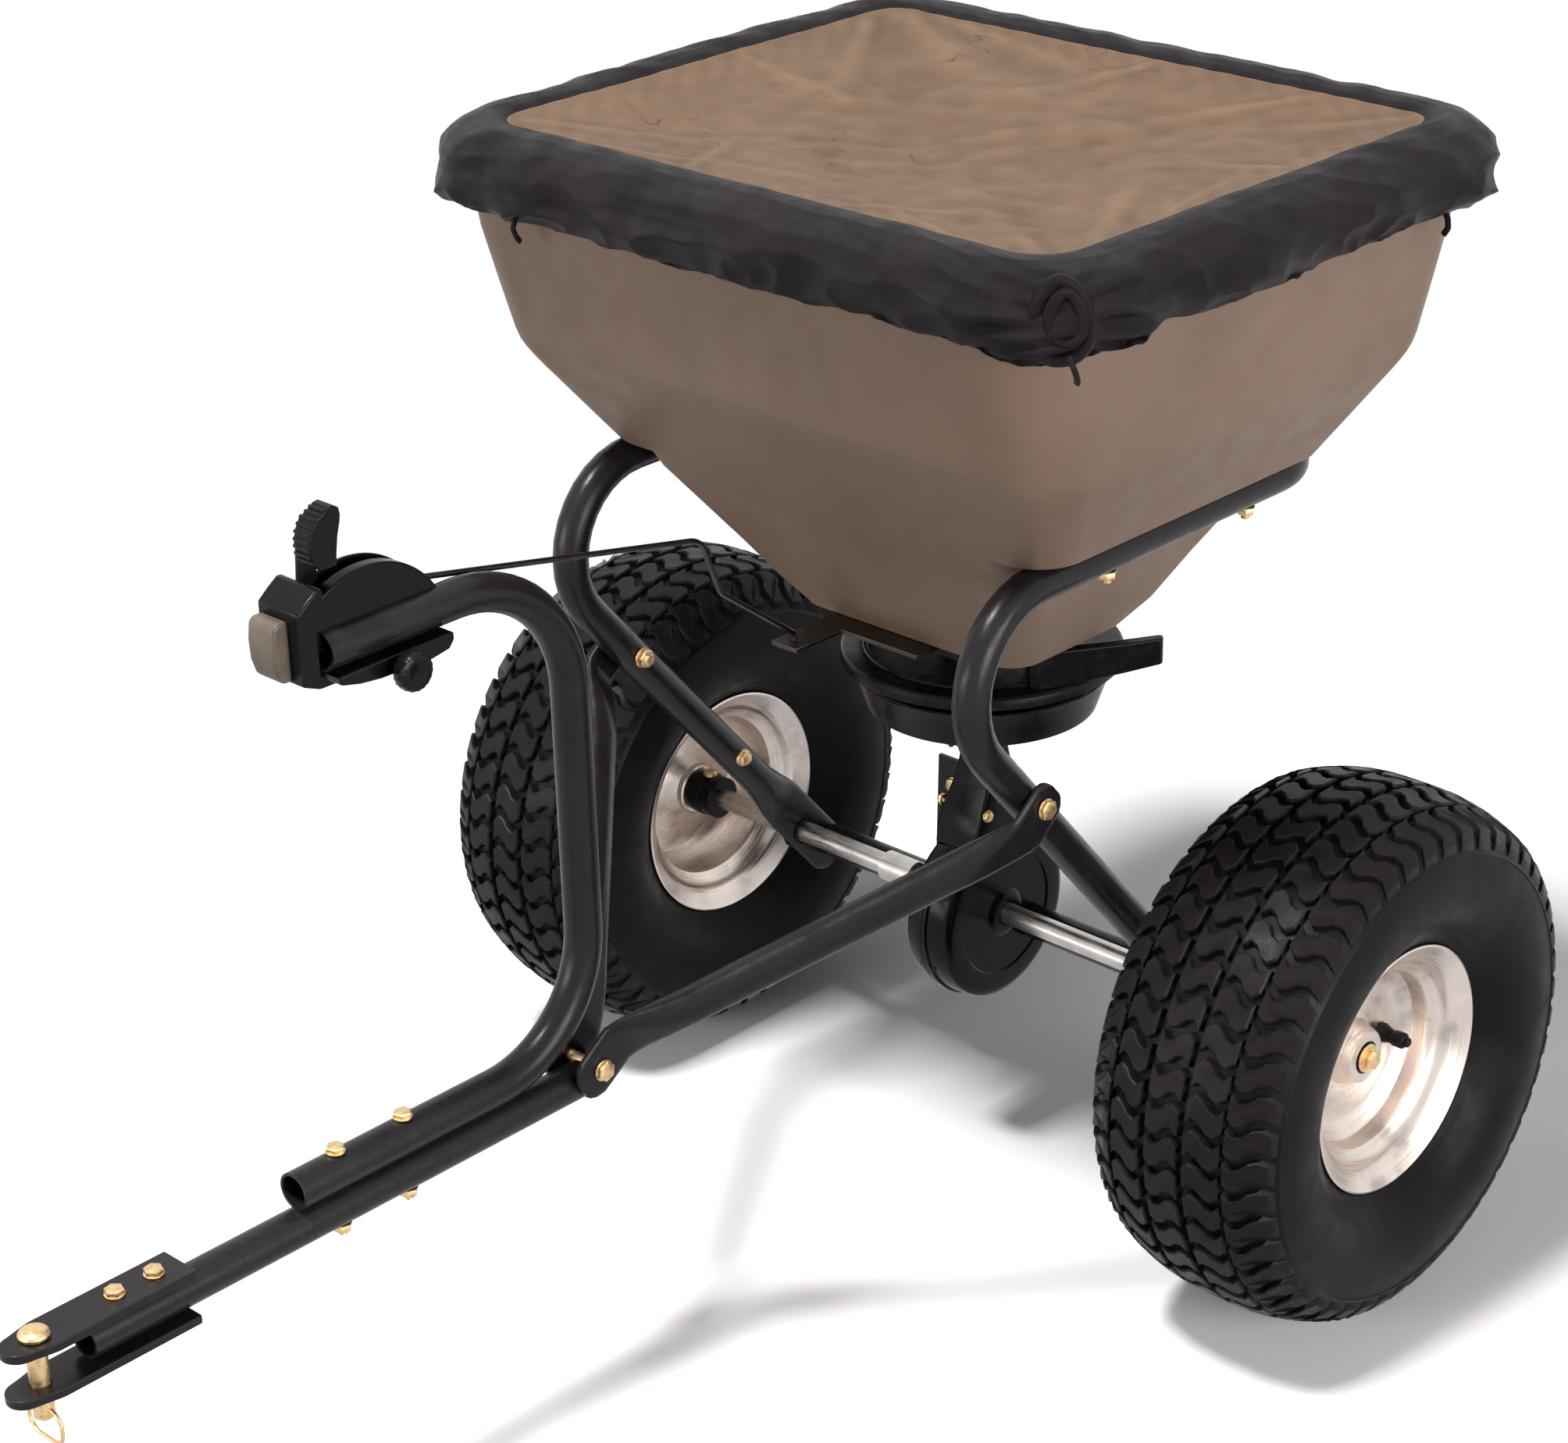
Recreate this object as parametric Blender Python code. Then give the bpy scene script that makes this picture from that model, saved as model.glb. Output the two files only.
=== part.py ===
"""Tow-behind broadcast spreader. Metres, +Z up, hitch towards -Y, wheels left (-X) and right (+X).

The origin is on the ground under the middle of the overall box. The shape itself is laid out
round the point under the middle of the axle, which the empty "layout" carries.
"""

import math

import bpy
import bmesh
from mathutils import Matrix, Vector

GAP = 0.0003                 # between pieces that touch
BORE_GAP = 0.0003            # radial, round shafts and bolts

TUBE_D = 0.0254
TUBE_WALL_FLAT = 0.005       # thickness of a flattened tube end
TUBE_FLAT_WIDTH = 0.038

AXLE_Z = 0.1905
AXLE_D = 0.016
AXLE_LENGTH = 0.692

TYRE_D = 0.381
TYRE_WIDTH = 0.157
WHEEL_X = AXLE_LENGTH / 2 - 0.030
RIM_FLANGE_D = 0.1788
RIM_WIDTH = 0.112
BEAD_SEAT_D = 0.1516
TREAD_DEPTH = 0.006
HUB_BORE_D = 0.0236

LEG_X = 0.185
TOP_RUN_Z = 0.548
LEG_BEND_R = 0.065
REAR_BEND_R = 0.050
REAR_RUN_Y = 0.144
LEG_BOLT = (-0.172, 0.398)   # Y, Z of the brace bolt through a leg
LEG_FOOT = (0.0364, 0.155)

CROSS_TUBE = (0.030, 0.172)
TONGUE_Z = 0.222
TONGUE_FRONT_Y = -0.812
TONGUE_REAR_Y = -0.388
BRACE_FOOT = (-0.404, 0.233)

CONTROL_REAR_Y = -0.398
CONTROL_TOP_Z = 0.593
CONTROL_BOLT_YS = (-0.615, -0.560)

HITCH_FRONT_Y = -0.868
HITCH_REAR_Y = -0.738
HITCH_STRAP_W = 0.032
HITCH_STRAP_T = 0.006
HITCH_PIN_Y = -0.845
HITCH_PIN_D = 0.013
HITCH_BOLT_YS = (-0.787, -0.758)

HOPPER_Y = -0.020
HOPPER_FLOOR_Z = 0.435
HOPPER_RIM_Z = 0.775
COVER_A = 0.294
COVER_B = 0.254
COVER_TOP_Z = HOPPER_RIM_Z + 0.017
COVER_HEM_Z = HOPPER_RIM_Z - 0.035

OUTLET_X = 0.025
OUTLET_Y = (-0.060, -0.028)

GEAR_MODULE = 0.003
PINION_TEETH = 8
CROWN_TEETH = 40
GEAR_FACE = 0.0085
SHAFT_D = 0.012
CASE_R = 0.0740
CASE_LEFT_X = -0.0178
CASE_RIGHT_X = 0.0228

LEVER_PIVOT = (-0.562, 0.579)
LEVER_PIN_R = 0.045
LEVER_SWING = math.radians(50)

BBOX_CENTRE_Y = (HITCH_FRONT_Y + HOPPER_Y + COVER_B) / 2

TUBE_R = TUBE_D / 2
SIDES = 12

for old in list(bpy.data.objects):
    bpy.data.objects.remove(old, do_unlink=True)

layout = bpy.data.objects.new("layout", None)
layout.location = (0, -BBOX_CENTRE_Y, 0)
bpy.context.scene.collection.objects.link(layout)


def material(name, colour, roughness, metallic):
    made = bpy.data.materials.new(name)
    made.use_nodes = True
    shader = made.node_tree.nodes["Principled BSDF"]
    shader.inputs["Base Color"].default_value = (*colour, 1)
    shader.inputs["Roughness"].default_value = roughness
    shader.inputs["Metallic"].default_value = metallic
    return made


def joint_empty(name, location, parent=layout):
    made = bpy.data.objects.new(name, None)
    made.location = location
    made.parent = parent
    bpy.context.scene.collection.objects.link(made)
    return made


def to_object(name, bm, look, parent=layout, smooth=True):
    """A closed mesh as an object with a material of its own; look is colour, roughness, metallic."""
    bmesh.ops.remove_doubles(bm, verts=bm.verts, dist=1e-6)
    bmesh.ops.recalc_face_normals(bm, faces=bm.faces)
    mesh = bpy.data.meshes.new(name)
    bm.to_mesh(mesh)
    bm.free()
    if look is not None:
        mesh.materials.append(material(name, *look))
    if smooth:
        mesh.shade_smooth()
        mesh.set_sharp_from_angle(angle=math.radians(35))
    made = bpy.data.objects.new(name, mesh)
    made.parent = parent
    bpy.context.scene.collection.objects.link(made)
    return made


def bridge(bm, rings, closed=False):
    """Skin a row of vertex rings with the same count, and cap both ends unless the row is closed."""
    loops = [[bm.verts.new(point) for point in ring] for ring in rings]
    count = len(loops[0])
    pairs = list(zip(loops, loops[1:]))
    if closed:
        pairs.append((loops[-1], loops[0]))
    for low, high in pairs:
        for i in range(count):
            j = (i + 1) % count
            bm.faces.new((low[i], low[j], high[j], high[i]))
    if not closed:
        bm.faces.new(loops[0][::-1])
        bm.faces.new(loops[-1])
    return loops


def circle(radius, count, phase=0.0):
    steps = [phase + math.tau * i / count for i in range(count)]
    return [(radius * math.cos(a), radius * math.sin(a)) for a in steps]


def turn(name, profile, axis, count, look, at=(0, 0, 0), parent=layout, phase=0.0):
    """Turn a closed profile of (along, radius) points about X, Y or Z; a radius of 0 closes on the axis."""
    bm = bmesh.new()
    verts = [bm.verts.new(place(axis, along, radius, 0)) for along, radius in profile]
    edges = [bm.edges.new((verts[i], verts[(i + 1) % len(verts)])) for i in range(len(verts))]
    way = Vector((axis == "X", axis == "Y", axis == "Z"))
    if phase:
        bmesh.ops.rotate(bm, verts=verts, cent=(0, 0, 0), matrix=Matrix.Rotation(phase, 3, way))
    bmesh.ops.spin(bm, geom=verts + edges, cent=(0, 0, 0), axis=way, angle=math.tau,
                   steps=count, use_merge=True)
    bmesh.ops.remove_doubles(bm, verts=bm.verts, dist=1e-6)
    flat = [f for f in bm.faces if f.calc_area() < 1e-13]
    bmesh.ops.delete(bm, geom=flat, context="FACES_ONLY")
    loose = [e for e in bm.edges if not e.link_faces]
    bmesh.ops.delete(bm, geom=loose, context="EDGES")
    made = to_object(name, bm, look, parent)
    made.location = at
    return made


def place(axis, along, u, v):
    if axis == "X":
        return Vector((along, v, u))
    if axis == "Y":
        return Vector((v, along, u))
    return Vector((u, v, along))


def rounded(corners, radius, steps=6):
    """Round the inner corners of a polyline; radius is one number or one for each inner corner."""
    points = [Vector(p) for p in corners]
    path = [points[0]]
    for i in range(1, len(points) - 1):
        r = radius[i - 1] if isinstance(radius, (list, tuple)) else radius
        before = (points[i - 1] - points[i]).normalized()
        after = (points[i + 1] - points[i]).normalized()
        half = before.angle(after) / 2
        reach = r / math.tan(half)
        centre = points[i] + (before + after).normalized() * (r / math.sin(half))
        start = points[i] + before * reach - centre
        end = points[i] + after * reach - centre
        swing = start.angle(end)
        axis = start.cross(end).normalized()
        for k in range(steps + 1):
            path.append(centre + Matrix.Rotation(swing * k / steps, 3, axis) @ start)
    path.append(points[-1])
    return path


def tube(name, path, look, parent=layout, radius=TUBE_R, sides=SIDES, flat=None, side=None, closed=False):
    """Sweep a tube along a path. flat gives each point's (half across side, half along side) or None."""
    points = [Vector(p) for p in path]
    count = len(points)
    rings = []
    across = Vector(side) if side is not None else Vector((1, 0, 0))
    for i, point in enumerate(points):
        if closed:
            ahead = (points[(i + 1) % count] - points[i - 1]).normalized()
        elif i == 0:
            ahead = (points[1] - points[0]).normalized()
        elif i == count - 1:
            ahead = (points[-1] - points[-2]).normalized()
        else:
            ahead = ((points[i + 1] - point).normalized() + (point - points[i - 1]).normalized()).normalized()
        if flat and flat[i]:
            across = Vector(side)
        across = (across - ahead * across.dot(ahead)).normalized()
        up = ahead.cross(across)
        half = flat[i] if flat and flat[i] else (radius, radius)
        mitre = 1.0
        if not closed and not flat and 0 < i < count - 1:
            mitre = 1 / max(0.5, (points[i + 1] - point).normalized().dot(ahead))
        ring = []
        for u, v in circle(1, sides, math.pi / sides):
            if flat and flat[i]:
                u = math.copysign(min(1, abs(u) * 1.25), u)
            ring.append(point + across * (u * half[0]) + up * (v * half[1] * mitre))
        rings.append(ring)
    bm = bmesh.new()
    bridge(bm, rings, closed)
    return to_object(name, bm, look, parent)


def prism(name, outline, axis, low, high, look, parent=layout):
    """Extrude a closed outline along an axis: (y, z) points for X, (x, z) for Y and (x, y) for Z."""
    bm = bmesh.new()
    slots = {"X": (1, 2, 0), "Y": (0, 2, 1), "Z": (0, 1, 2)}[axis]
    verts = []
    for u, v in outline:
        point = [0, 0, 0]
        point[slots[0]] = u
        point[slots[1]] = v
        point[slots[2]] = low
        verts.append(bm.verts.new(point))
    face = bm.faces.new(verts)
    pulled = bmesh.ops.extrude_face_region(bm, geom=[face])["geom"]
    shift = [0, 0, 0]
    shift[slots[2]] = high - low
    bmesh.ops.translate(bm, vec=shift, verts=[v for v in pulled if isinstance(v, bmesh.types.BMVert)])
    return to_object(name, bm, look, parent, smooth=False)


def box(u, v, w):
    """The corners of a block given its X, Y and Z ranges, as an outline for prism along Z."""
    return [(u[0], v[0]), (u[1], v[0]), (u[1], v[1]), (u[0], v[1])], w[0], w[1]


def block(name, u, v, w, look, parent=layout):
    outline, low, high = box(u, v, w)
    return prism(name, outline, "Z", low, high, look, parent)


def arc(centre, radius, start, end, steps):
    turns = [math.radians(start + (end - start) * k / steps) for k in range(steps + 1)]
    return [(centre[0] + radius * math.cos(a), centre[1] + radius * math.sin(a)) for a in turns]


def join_or_cut(target, tool, how):
    """Leave a Boolean on the target; its tool is a wire guide that isn't a piece of the spreader."""
    change = target.modifiers.new(tool.name, "BOOLEAN")
    change.operation = how
    change.object = tool
    change.solver = "EXACT"
    tool.hide_render = True
    tool.display_type = "WIRE"
    return target


def drill(target, holes):
    """Cut holes, each (start, end, radius), through a piece; the flats of a hole are at its radius."""
    bm = bmesh.new()
    for start, end, radius in holes:
        low = Vector(start)
        high = Vector(end)
        length = (high - low).length
        turned = (high - low).to_track_quat("Z", "Y").to_matrix().to_4x4()
        corner_r = radius / math.cos(math.pi / 8)
        bmesh.ops.create_cone(bm, cap_ends=True, segments=8, radius1=corner_r, radius2=corner_r, depth=length,
                              matrix=Matrix.Translation((low + high) / 2) @ turned)
    cutter = to_object(target.name + "_drill", bm, None, target.parent)
    return join_or_cut(target, cutter, "DIFFERENCE")


def bolt(name, start, end, look, shank=0.004, head=0.0075, head_h=0.0045, nut_h=0.0055, tail=0.003,
         parent=layout):
    """A hexagon bolt whose clamped length runs from start (under the head) to end (face of the nut)."""
    low = Vector(start)
    high = Vector(end)
    way = (high - low).normalized()
    length = (high - low).length
    steps = [(-head_h, head), (0, head), (0, shank), (length, shank)]
    if nut_h:
        steps += [(length, head * 0.95), (length + nut_h, head * 0.95), (length + nut_h, shank)]
        steps += [(length + nut_h + tail, shank)]
    turned = way.to_track_quat("Z", "Y").to_matrix()
    rings = []
    for along, radius in steps:
        ring = []
        for u, v in circle(radius, 6):
            ring.append(low + turned @ Vector((u, v, along)))
        rings.append(ring)
    bm = bmesh.new()
    bridge(bm, rings)
    return to_object(name, bm, look, parent)


def rounded_rect(half_x, half_y, radius, z, corner_steps=4, centre_y=HOPPER_Y):
    ring = []
    for sx, sy, start in ((1, 1, 0), (-1, 1, 90), (-1, -1, 180), (1, -1, 270)):
        for k in range(corner_steps + 1):
            angle = math.radians(start + 90 * k / corner_steps)
            x = sx * (half_x - radius) + radius * math.cos(angle)
            y = sy * (half_y - radius) + radius * math.sin(angle)
            ring.append(Vector((x, centre_y + y, z)))
    return ring


TUBE_COAT = ((0.020, 0.021, 0.024), 0.38, 0.3)
ZINC = ((0.62, 0.47, 0.20), 0.35, 0.9)
STEEL = ((0.52, 0.52, 0.54), 0.30, 1.0)
GALVANISED = ((0.60, 0.60, 0.62), 0.35, 0.9)
BLACK_PLASTIC = ((0.012, 0.012, 0.013), 0.45, 0.0)
RUBBER = ((0.016, 0.015, 0.016), 0.75, 0.0)
HOPPER_PLASTIC = ((0.245, 0.200, 0.160), 0.55, 0.0)
COVER_CLOTH = ((0.260, 0.180, 0.110), 0.8, 0.0)
CAP_TAN = ((0.36, 0.31, 0.26), 0.5, 0.0)

# Side tubes: flattened foot on the axle line, straight leg, round bend, top run under the hopper
# ledge, and a second bend inward behind the hopper, where the two tubes meet.
for side, sign in (("left", -1), ("right", 1)):
    leg_x = sign * LEG_X
    lean = Vector((0, LEG_BOLT[0] - LEG_FOOT[0], LEG_BOLT[1] - LEG_FOOT[1])).normalized()
    corner = Vector((leg_x, 0, TOP_RUN_Z))
    corner.y = LEG_BOLT[0] + lean.y * (TOP_RUN_Z - LEG_BOLT[1]) / lean.z
    foot = Vector((leg_x, *LEG_FOOT))
    corners = [foot + lean * 0.135, corner, (leg_x, REAR_RUN_Y, TOP_RUN_Z),
               (sign * GAP / 2, REAR_RUN_Y, TOP_RUN_Z)]
    bend = rounded(corners, [LEG_BEND_R, REAR_BEND_R], 7)
    path = [foot, foot + lean * 0.008, foot + lean * 0.085, foot + lean * 0.100, foot + lean * 0.115] + bend
    flat = [(TUBE_WALL_FLAT / 2, TUBE_FLAT_WIDTH * 0.40), (TUBE_WALL_FLAT / 2, TUBE_FLAT_WIDTH / 2),
            (TUBE_WALL_FLAT / 2, TUBE_FLAT_WIDTH / 2), (0.0060, 0.0172), (0.0105, 0.0146)]
    flat += [None] * len(bend)
    leg = tube("frame_tube_" + side, path, TUBE_COAT, flat=flat, side=(1, 0, 0))
    holes = [((leg_x - 0.03, *LEG_BOLT), (leg_x + 0.03, *LEG_BOLT), 0.0043),
             ((leg_x - 0.03, 0, AXLE_Z), (leg_x + 0.03, 0, AXLE_Z), 0.0105)]
    for y in (-0.089, 0.060):
        holes.append(((leg_x, y, TOP_RUN_Z - 0.03), (leg_x, y, TOP_RUN_Z + 0.03), 0.0035))
    drill(leg, holes)

# Cross tube behind the axle, in two lengths from the flattened feet to the sides of the gear case.
inner = LEG_X - TUBE_WALL_FLAT / 2 - GAP
cross = tube("cross_tube_left", [(-inner, *CROSS_TUBE), (CASE_LEFT_X - GAP, *CROSS_TUBE)], TUBE_COAT,
             side=(0, 0, 1))
drill(cross, [((-0.050, CROSS_TUBE[0], 0.15), (-0.050, CROSS_TUBE[0], 0.20), 0.0035)])
tube("cross_tube_right", [(CASE_RIGHT_X + GAP, *CROSS_TUBE), (inner, *CROSS_TUBE)], TUBE_COAT, side=(0, 0, 1))

# Braces from the sides of the tongue out to the outer sides of the legs, both ends flattened.
brace_plate = TUBE_WALL_FLAT / 2
flat_foot_x = TUBE_R + GAP + brace_plate
flat_top_x = LEG_X + TUBE_R + GAP + brace_plate
for side, sign in (("left", -1), ("right", 1)):
    path = [(flat_foot_x, -0.4190, 0.2248), (flat_foot_x, -0.4120, 0.2290), (flat_foot_x, -0.3880, 0.2455),
            (0.0215, -0.3785, 0.2520), (0.0330, -0.3670, 0.2600), (0.0500, -0.3500, 0.2717),
            (0.1580, -0.2310, 0.3520), (0.1720, -0.2170, 0.3620), (0.1860, -0.2065, 0.3695),
            (0.1965, -0.1980, 0.3757), (flat_top_x, -0.1900, 0.3818), (flat_top_x, -0.1620, 0.4070),
            (flat_top_x, -0.1560, 0.4125)]
    thin = brace_plate
    flat = [(thin, 0.0150), (thin, 0.0185), (thin, 0.0185), (0.0050, 0.0170), (0.0095, 0.0145), None,
            None, (0.0095, 0.0145), (0.0050, 0.0170), (thin, 0.0182), (thin, 0.0185), (thin, 0.0185),
            (thin, 0.0150)]
    flat[5] = flat[6] = (TUBE_R, TUBE_R)
    brace = tube("brace_" + side, [(sign * x, y, z) for x, y, z in path], TUBE_COAT, flat=flat,
                 side=(1, 0, 0))
    drill(brace, [((-0.03, *BRACE_FOOT), (0.03, *BRACE_FOOT), 0.0043),
                  ((sign * (flat_top_x - 0.02), *LEG_BOLT), (sign * (flat_top_x + 0.02), *LEG_BOLT), 0.0043)])
    bolt("brace_bolt_" + side, (sign * (flat_top_x + brace_plate + GAP), *LEG_BOLT),
         (sign * (LEG_X - TUBE_R - GAP), *LEG_BOLT), ZINC)

tongue = tube("tongue_tube", [(0, TONGUE_FRONT_Y, TONGUE_Z), (0, TONGUE_REAR_Y, TONGUE_Z)], TUBE_COAT)
holes = [((0, y, TONGUE_Z - 0.03), (0, y, TONGUE_Z + 0.03), 0.0035) for y in CONTROL_BOLT_YS + HITCH_BOLT_YS]
drill(tongue, holes + [((-0.03, *BRACE_FOOT), (0.03, *BRACE_FOOT), 0.0043)])
outside = flat_foot_x + brace_plate + GAP
bolt("brace_tongue_bolt", (outside, *BRACE_FOOT), (-outside, *BRACE_FOOT), ZINC)

# Control tube: clamped on the tongue, rising in front of the hopper, then level towards the driver.
control_low_z = TONGUE_Z + TUBE_D + GAP
corners = [(0, -0.650, control_low_z), (0, CONTROL_REAR_Y, control_low_z),
           (0, CONTROL_REAR_Y, CONTROL_TOP_Z), (0, -0.605, CONTROL_TOP_Z)]
control = tube("control_tube", rounded(corners, [0.085, 0.090], 7), TUBE_COAT)
drill(control, [((0, y, control_low_z - 0.03), (0, y, control_low_z + 0.03), 0.0035)
                for y in CONTROL_BOLT_YS])
for name, y in zip(("front", "rear"), CONTROL_BOLT_YS):
    bolt("control_bolt_" + name, (0, y, control_low_z + TUBE_R + GAP), (0, y, TONGUE_Z - TUBE_R - GAP), ZINC,
         shank=0.0032, head=0.0065)

# Hitch: two straps with tapered noses, above and below the tongue.
strap_top_z = TONGUE_Z + TUBE_R + GAP
strap_low_z = TONGUE_Z - TUBE_R - GAP - HITCH_STRAP_T
half = HITCH_STRAP_W / 2
nose = [(-half, HITCH_REAR_Y), (half, HITCH_REAR_Y), (half, -0.840)]
nose += arc((0, HITCH_FRONT_Y + 0.0120), 0.0120, -20, -160, 8)
nose += [(-half, -0.840)]
for name, low in (("upper", strap_top_z), ("lower", strap_low_z)):
    strap = prism("hitch_strap_" + name, nose, "Z", low, low + HITCH_STRAP_T, TUBE_COAT)
    holes = [((0, y, low - 0.01), (0, y, low + 0.016), 0.0035) for y in HITCH_BOLT_YS]
    drill(strap, holes + [((0, HITCH_PIN_Y, low - 0.01), (0, HITCH_PIN_Y, low + 0.016),
                           HITCH_PIN_D / 2 + BORE_GAP)])
for name, y in zip(("front", "rear"), HITCH_BOLT_YS):
    bolt("hitch_bolt_" + name, (0, y, strap_top_z + HITCH_STRAP_T + GAP), (0, y, strap_low_z - GAP), ZINC,
         shank=0.0032, head=0.0065)

pin_axis = joint_empty("hitch_pin_axis", (0, HITCH_PIN_Y, strap_top_z + HITCH_STRAP_T + GAP))
pin_drop = strap_top_z + HITCH_STRAP_T + GAP - 0.1850
clip_drop = strap_top_z + HITCH_STRAP_T + GAP - 0.1925
pin_r = HITCH_PIN_D / 2
pin = turn("hitch_pin", [(0.0055, 0), (0.0055, 0.009), (0.004, 0.0115), (0, 0.0115), (0, pin_r),
                         (-pin_drop + 0.0015, pin_r), (-pin_drop, pin_r - 0.0015), (-pin_drop, 0)],
           "Z", 16, ZINC, parent=pin_axis)
drill(pin, [((-0.02, 0, -clip_drop), (0.02, 0, -clip_drop), 0.0022)])
clip_axis = joint_empty("ring_clip_axis", (0, 0, -clip_drop), pin_axis)
ring_w = 0.0165
ring_h = 0.0225
ring_r = 0.0095
corner_sets = (((ring_w - ring_r, -ring_r), 90, 0), ((ring_w - ring_r, -ring_h + ring_r), 0, -90),
               ((-ring_w + ring_r, -ring_h + ring_r), -90, -180), ((-ring_w + ring_r, -ring_r), 180, 90))
clip_path = []
for centre, start, end in corner_sets:
    clip_path += [Vector((u, 0, v)) for u, v in arc(centre, ring_r, start, end, 5)]
tube("ring_clip", clip_path, ZINC, parent=clip_axis, radius=0.0013, sides=6, side=(0, 1, 0), closed=True)

# Hopper: steep upper walls, a crease, a funnel, and a level ledge on the two sides for the tubes.
ledge_z = TOP_RUN_Z + TUBE_R + GAP
front_slope = (0.2055 - 0.065) / (0.634 - HOPPER_FLOOR_Z)


def funnel_b(z):
    return 0.065 + front_slope * (z - HOPPER_FLOOR_Z)


outer = [(HOPPER_FLOOR_Z, 0.103, 0.025), (0.457, 0.1218, 0.028), (0.488, 0.1385, 0.030),
         (0.545, 0.1712, 0.030), (ledge_z, 0.1718, 0.030), (ledge_z + 0.0005, 0.2040, 0.034)]
rings = [rounded_rect(a, funnel_b(z), r, z) for z, a, r in outer]
for a, b, r, z in ((0.2465, 0.2035, 0.043, 0.631), (0.2500, 0.2080, 0.045, 0.640),
                   (0.2630, 0.2310, 0.058, HOPPER_RIM_Z - 0.054), (0.2680, 0.2360, 0.060, HOPPER_RIM_Z - 0.011),
                   (0.2770, 0.2450, 0.068, HOPPER_RIM_Z - 0.010), (0.2780, 0.2460, 0.069, HOPPER_RIM_Z - 0.005),
                   (0.2755, 0.2435, 0.067, HOPPER_RIM_Z),
                   (0.2660, 0.2340, 0.058, HOPPER_RIM_Z), (0.2640, 0.2320, 0.056, HOPPER_RIM_Z - 0.006),
                   (0.2588, 0.2268, 0.054, HOPPER_RIM_Z - 0.054), (0.2458, 0.2038, 0.041, 0.640),
                   (0.2423, 0.1993, 0.039, 0.631)):
    rings.append(rounded_rect(a, b, r, z))
inner_walls = [(ledge_z + 0.0050, 0.1990, 0.030), (ledge_z + 0.0045, 0.1672, 0.026), (0.545, 0.1665, 0.026),
               (0.488, 0.1335, 0.026), (0.457, 0.1165, 0.024), (HOPPER_FLOOR_Z + 0.005, 0.1005, 0.022)]
rings += [rounded_rect(a, funnel_b(z) - 0.0050, r, z) for z, a, r in inner_walls]
bm = bmesh.new()
bridge(bm, rings)
hopper = to_object("hopper", bm, HOPPER_PLASTIC)
outlet, low, high = box((-OUTLET_X, OUTLET_X), OUTLET_Y, (HOPPER_FLOOR_Z - 0.005, HOPPER_FLOOR_Z + 0.010))
join_or_cut(hopper, prism("hopper_outlet_cut", outlet, "Z", low, high, None), "DIFFERENCE")
holes = [((0, 0, HOPPER_FLOOR_Z - 0.01), (0, 0, HOPPER_FLOOR_Z + 0.01), 0.0085)]
for sign in (-1, 1):
    for y in (-0.089, 0.060):
        holes.append(((sign * LEG_X, y, ledge_z - 0.006), (sign * LEG_X, y, ledge_z + 0.012), 0.0035))
drill(hopper, holes)
for side, sign in (("left", -1), ("right", 1)):
    for end, y in (("front", -0.089), ("rear", 0.060)):
        bolt("hopper_bolt_" + end + "_" + side, (sign * LEG_X, y, ledge_z + 0.0050 + GAP),
             (sign * LEG_X, y, TOP_RUN_Z - TUBE_R - GAP), ZINC, shank=0.0032, head=0.0065)

# Rain cover: a panel stretched over the rim and a full hem gathered under the lip.
shell = [(0.2815, 0.2415, 0.070, COVER_HEM_Z), (0.2915, 0.2515, 0.074, COVER_HEM_Z + 0.007),
         (COVER_A, COVER_B, 0.076, HOPPER_RIM_Z - 0.012), (0.2860, 0.2460, 0.070, HOPPER_RIM_Z + 0.007),
         (0.2620, 0.2220, 0.055, COVER_TOP_Z),
         (0.2413, 0.2018, 0.040, COVER_TOP_Z - 0.001), (0.1600, 0.1300, 0.030, COVER_TOP_Z - 0.009),
         (0.0700, 0.0550, 0.020, COVER_TOP_Z - 0.0105)]
inside = [(0.0700, 0.0550, 0.020, COVER_TOP_Z - 0.0125), (0.1600, 0.1300, 0.030, COVER_TOP_Z - 0.011),
          (0.2413, 0.2018, 0.040, COVER_TOP_Z - 0.0045), (0.2620, 0.2220, 0.055, COVER_TOP_Z - 0.004),
          (0.2830, 0.2430, 0.068, HOPPER_RIM_Z + 0.003), (0.2905, 0.2505, 0.074, HOPPER_RIM_Z - 0.012),
          (0.2885, 0.2485, 0.072, COVER_HEM_Z + 0.0085), (0.2810, 0.2410, 0.069, COVER_HEM_Z + 0.0025)]
bm = bmesh.new()
outer_rings = [rounded_rect(a, b, r, z, 4) for a, b, r, z in shell]
inner_rings = [rounded_rect(a, b, r, z, 4) for a, b, r, z in inside]
outer_loops = [[bm.verts.new(p) for p in ring] for ring in outer_rings]
inner_loops = [[bm.verts.new(p) for p in ring] for ring in inner_rings]
for low, high in list(zip(outer_loops, outer_loops[1:])) + list(zip(inner_loops, inner_loops[1:])) + [
        (inner_loops[-1], outer_loops[0])]:
    for i in range(len(low)):
        j = (i + 1) % len(low)
        bm.faces.new((low[i], low[j], high[j], high[i]))
bm.faces.new(outer_loops[-1])
bm.faces.new(inner_loops[0][::-1])
to_object("rain_cover", bm, COVER_CLOTH)

# Shutter guide under the hopper floor, with a channel for the shutter plate.
guide_top = HOPPER_FLOOR_Z - GAP
channel_z = HOPPER_FLOOR_Z - 0.0040
guide = block("shutter_guide", (-0.076, 0.046), (-0.078, 0.026), (0.4255, guide_top), BLACK_PLASTIC)
channel = block("shutter_channel", (-0.0645, 0.0305), (-0.090, -0.0235), (channel_z, guide_top + 0.01), None)
join_or_cut(guide, channel, "DIFFERENCE")
hole = block("guide_outlet", (-OUTLET_X, OUTLET_X), OUTLET_Y, (0.42, 0.44), None)
join_or_cut(guide, hole, "DIFFERENCE")
drill(guide, [((0, 0, 0.42), (0, 0, 0.44), 0.0085)])

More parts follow.
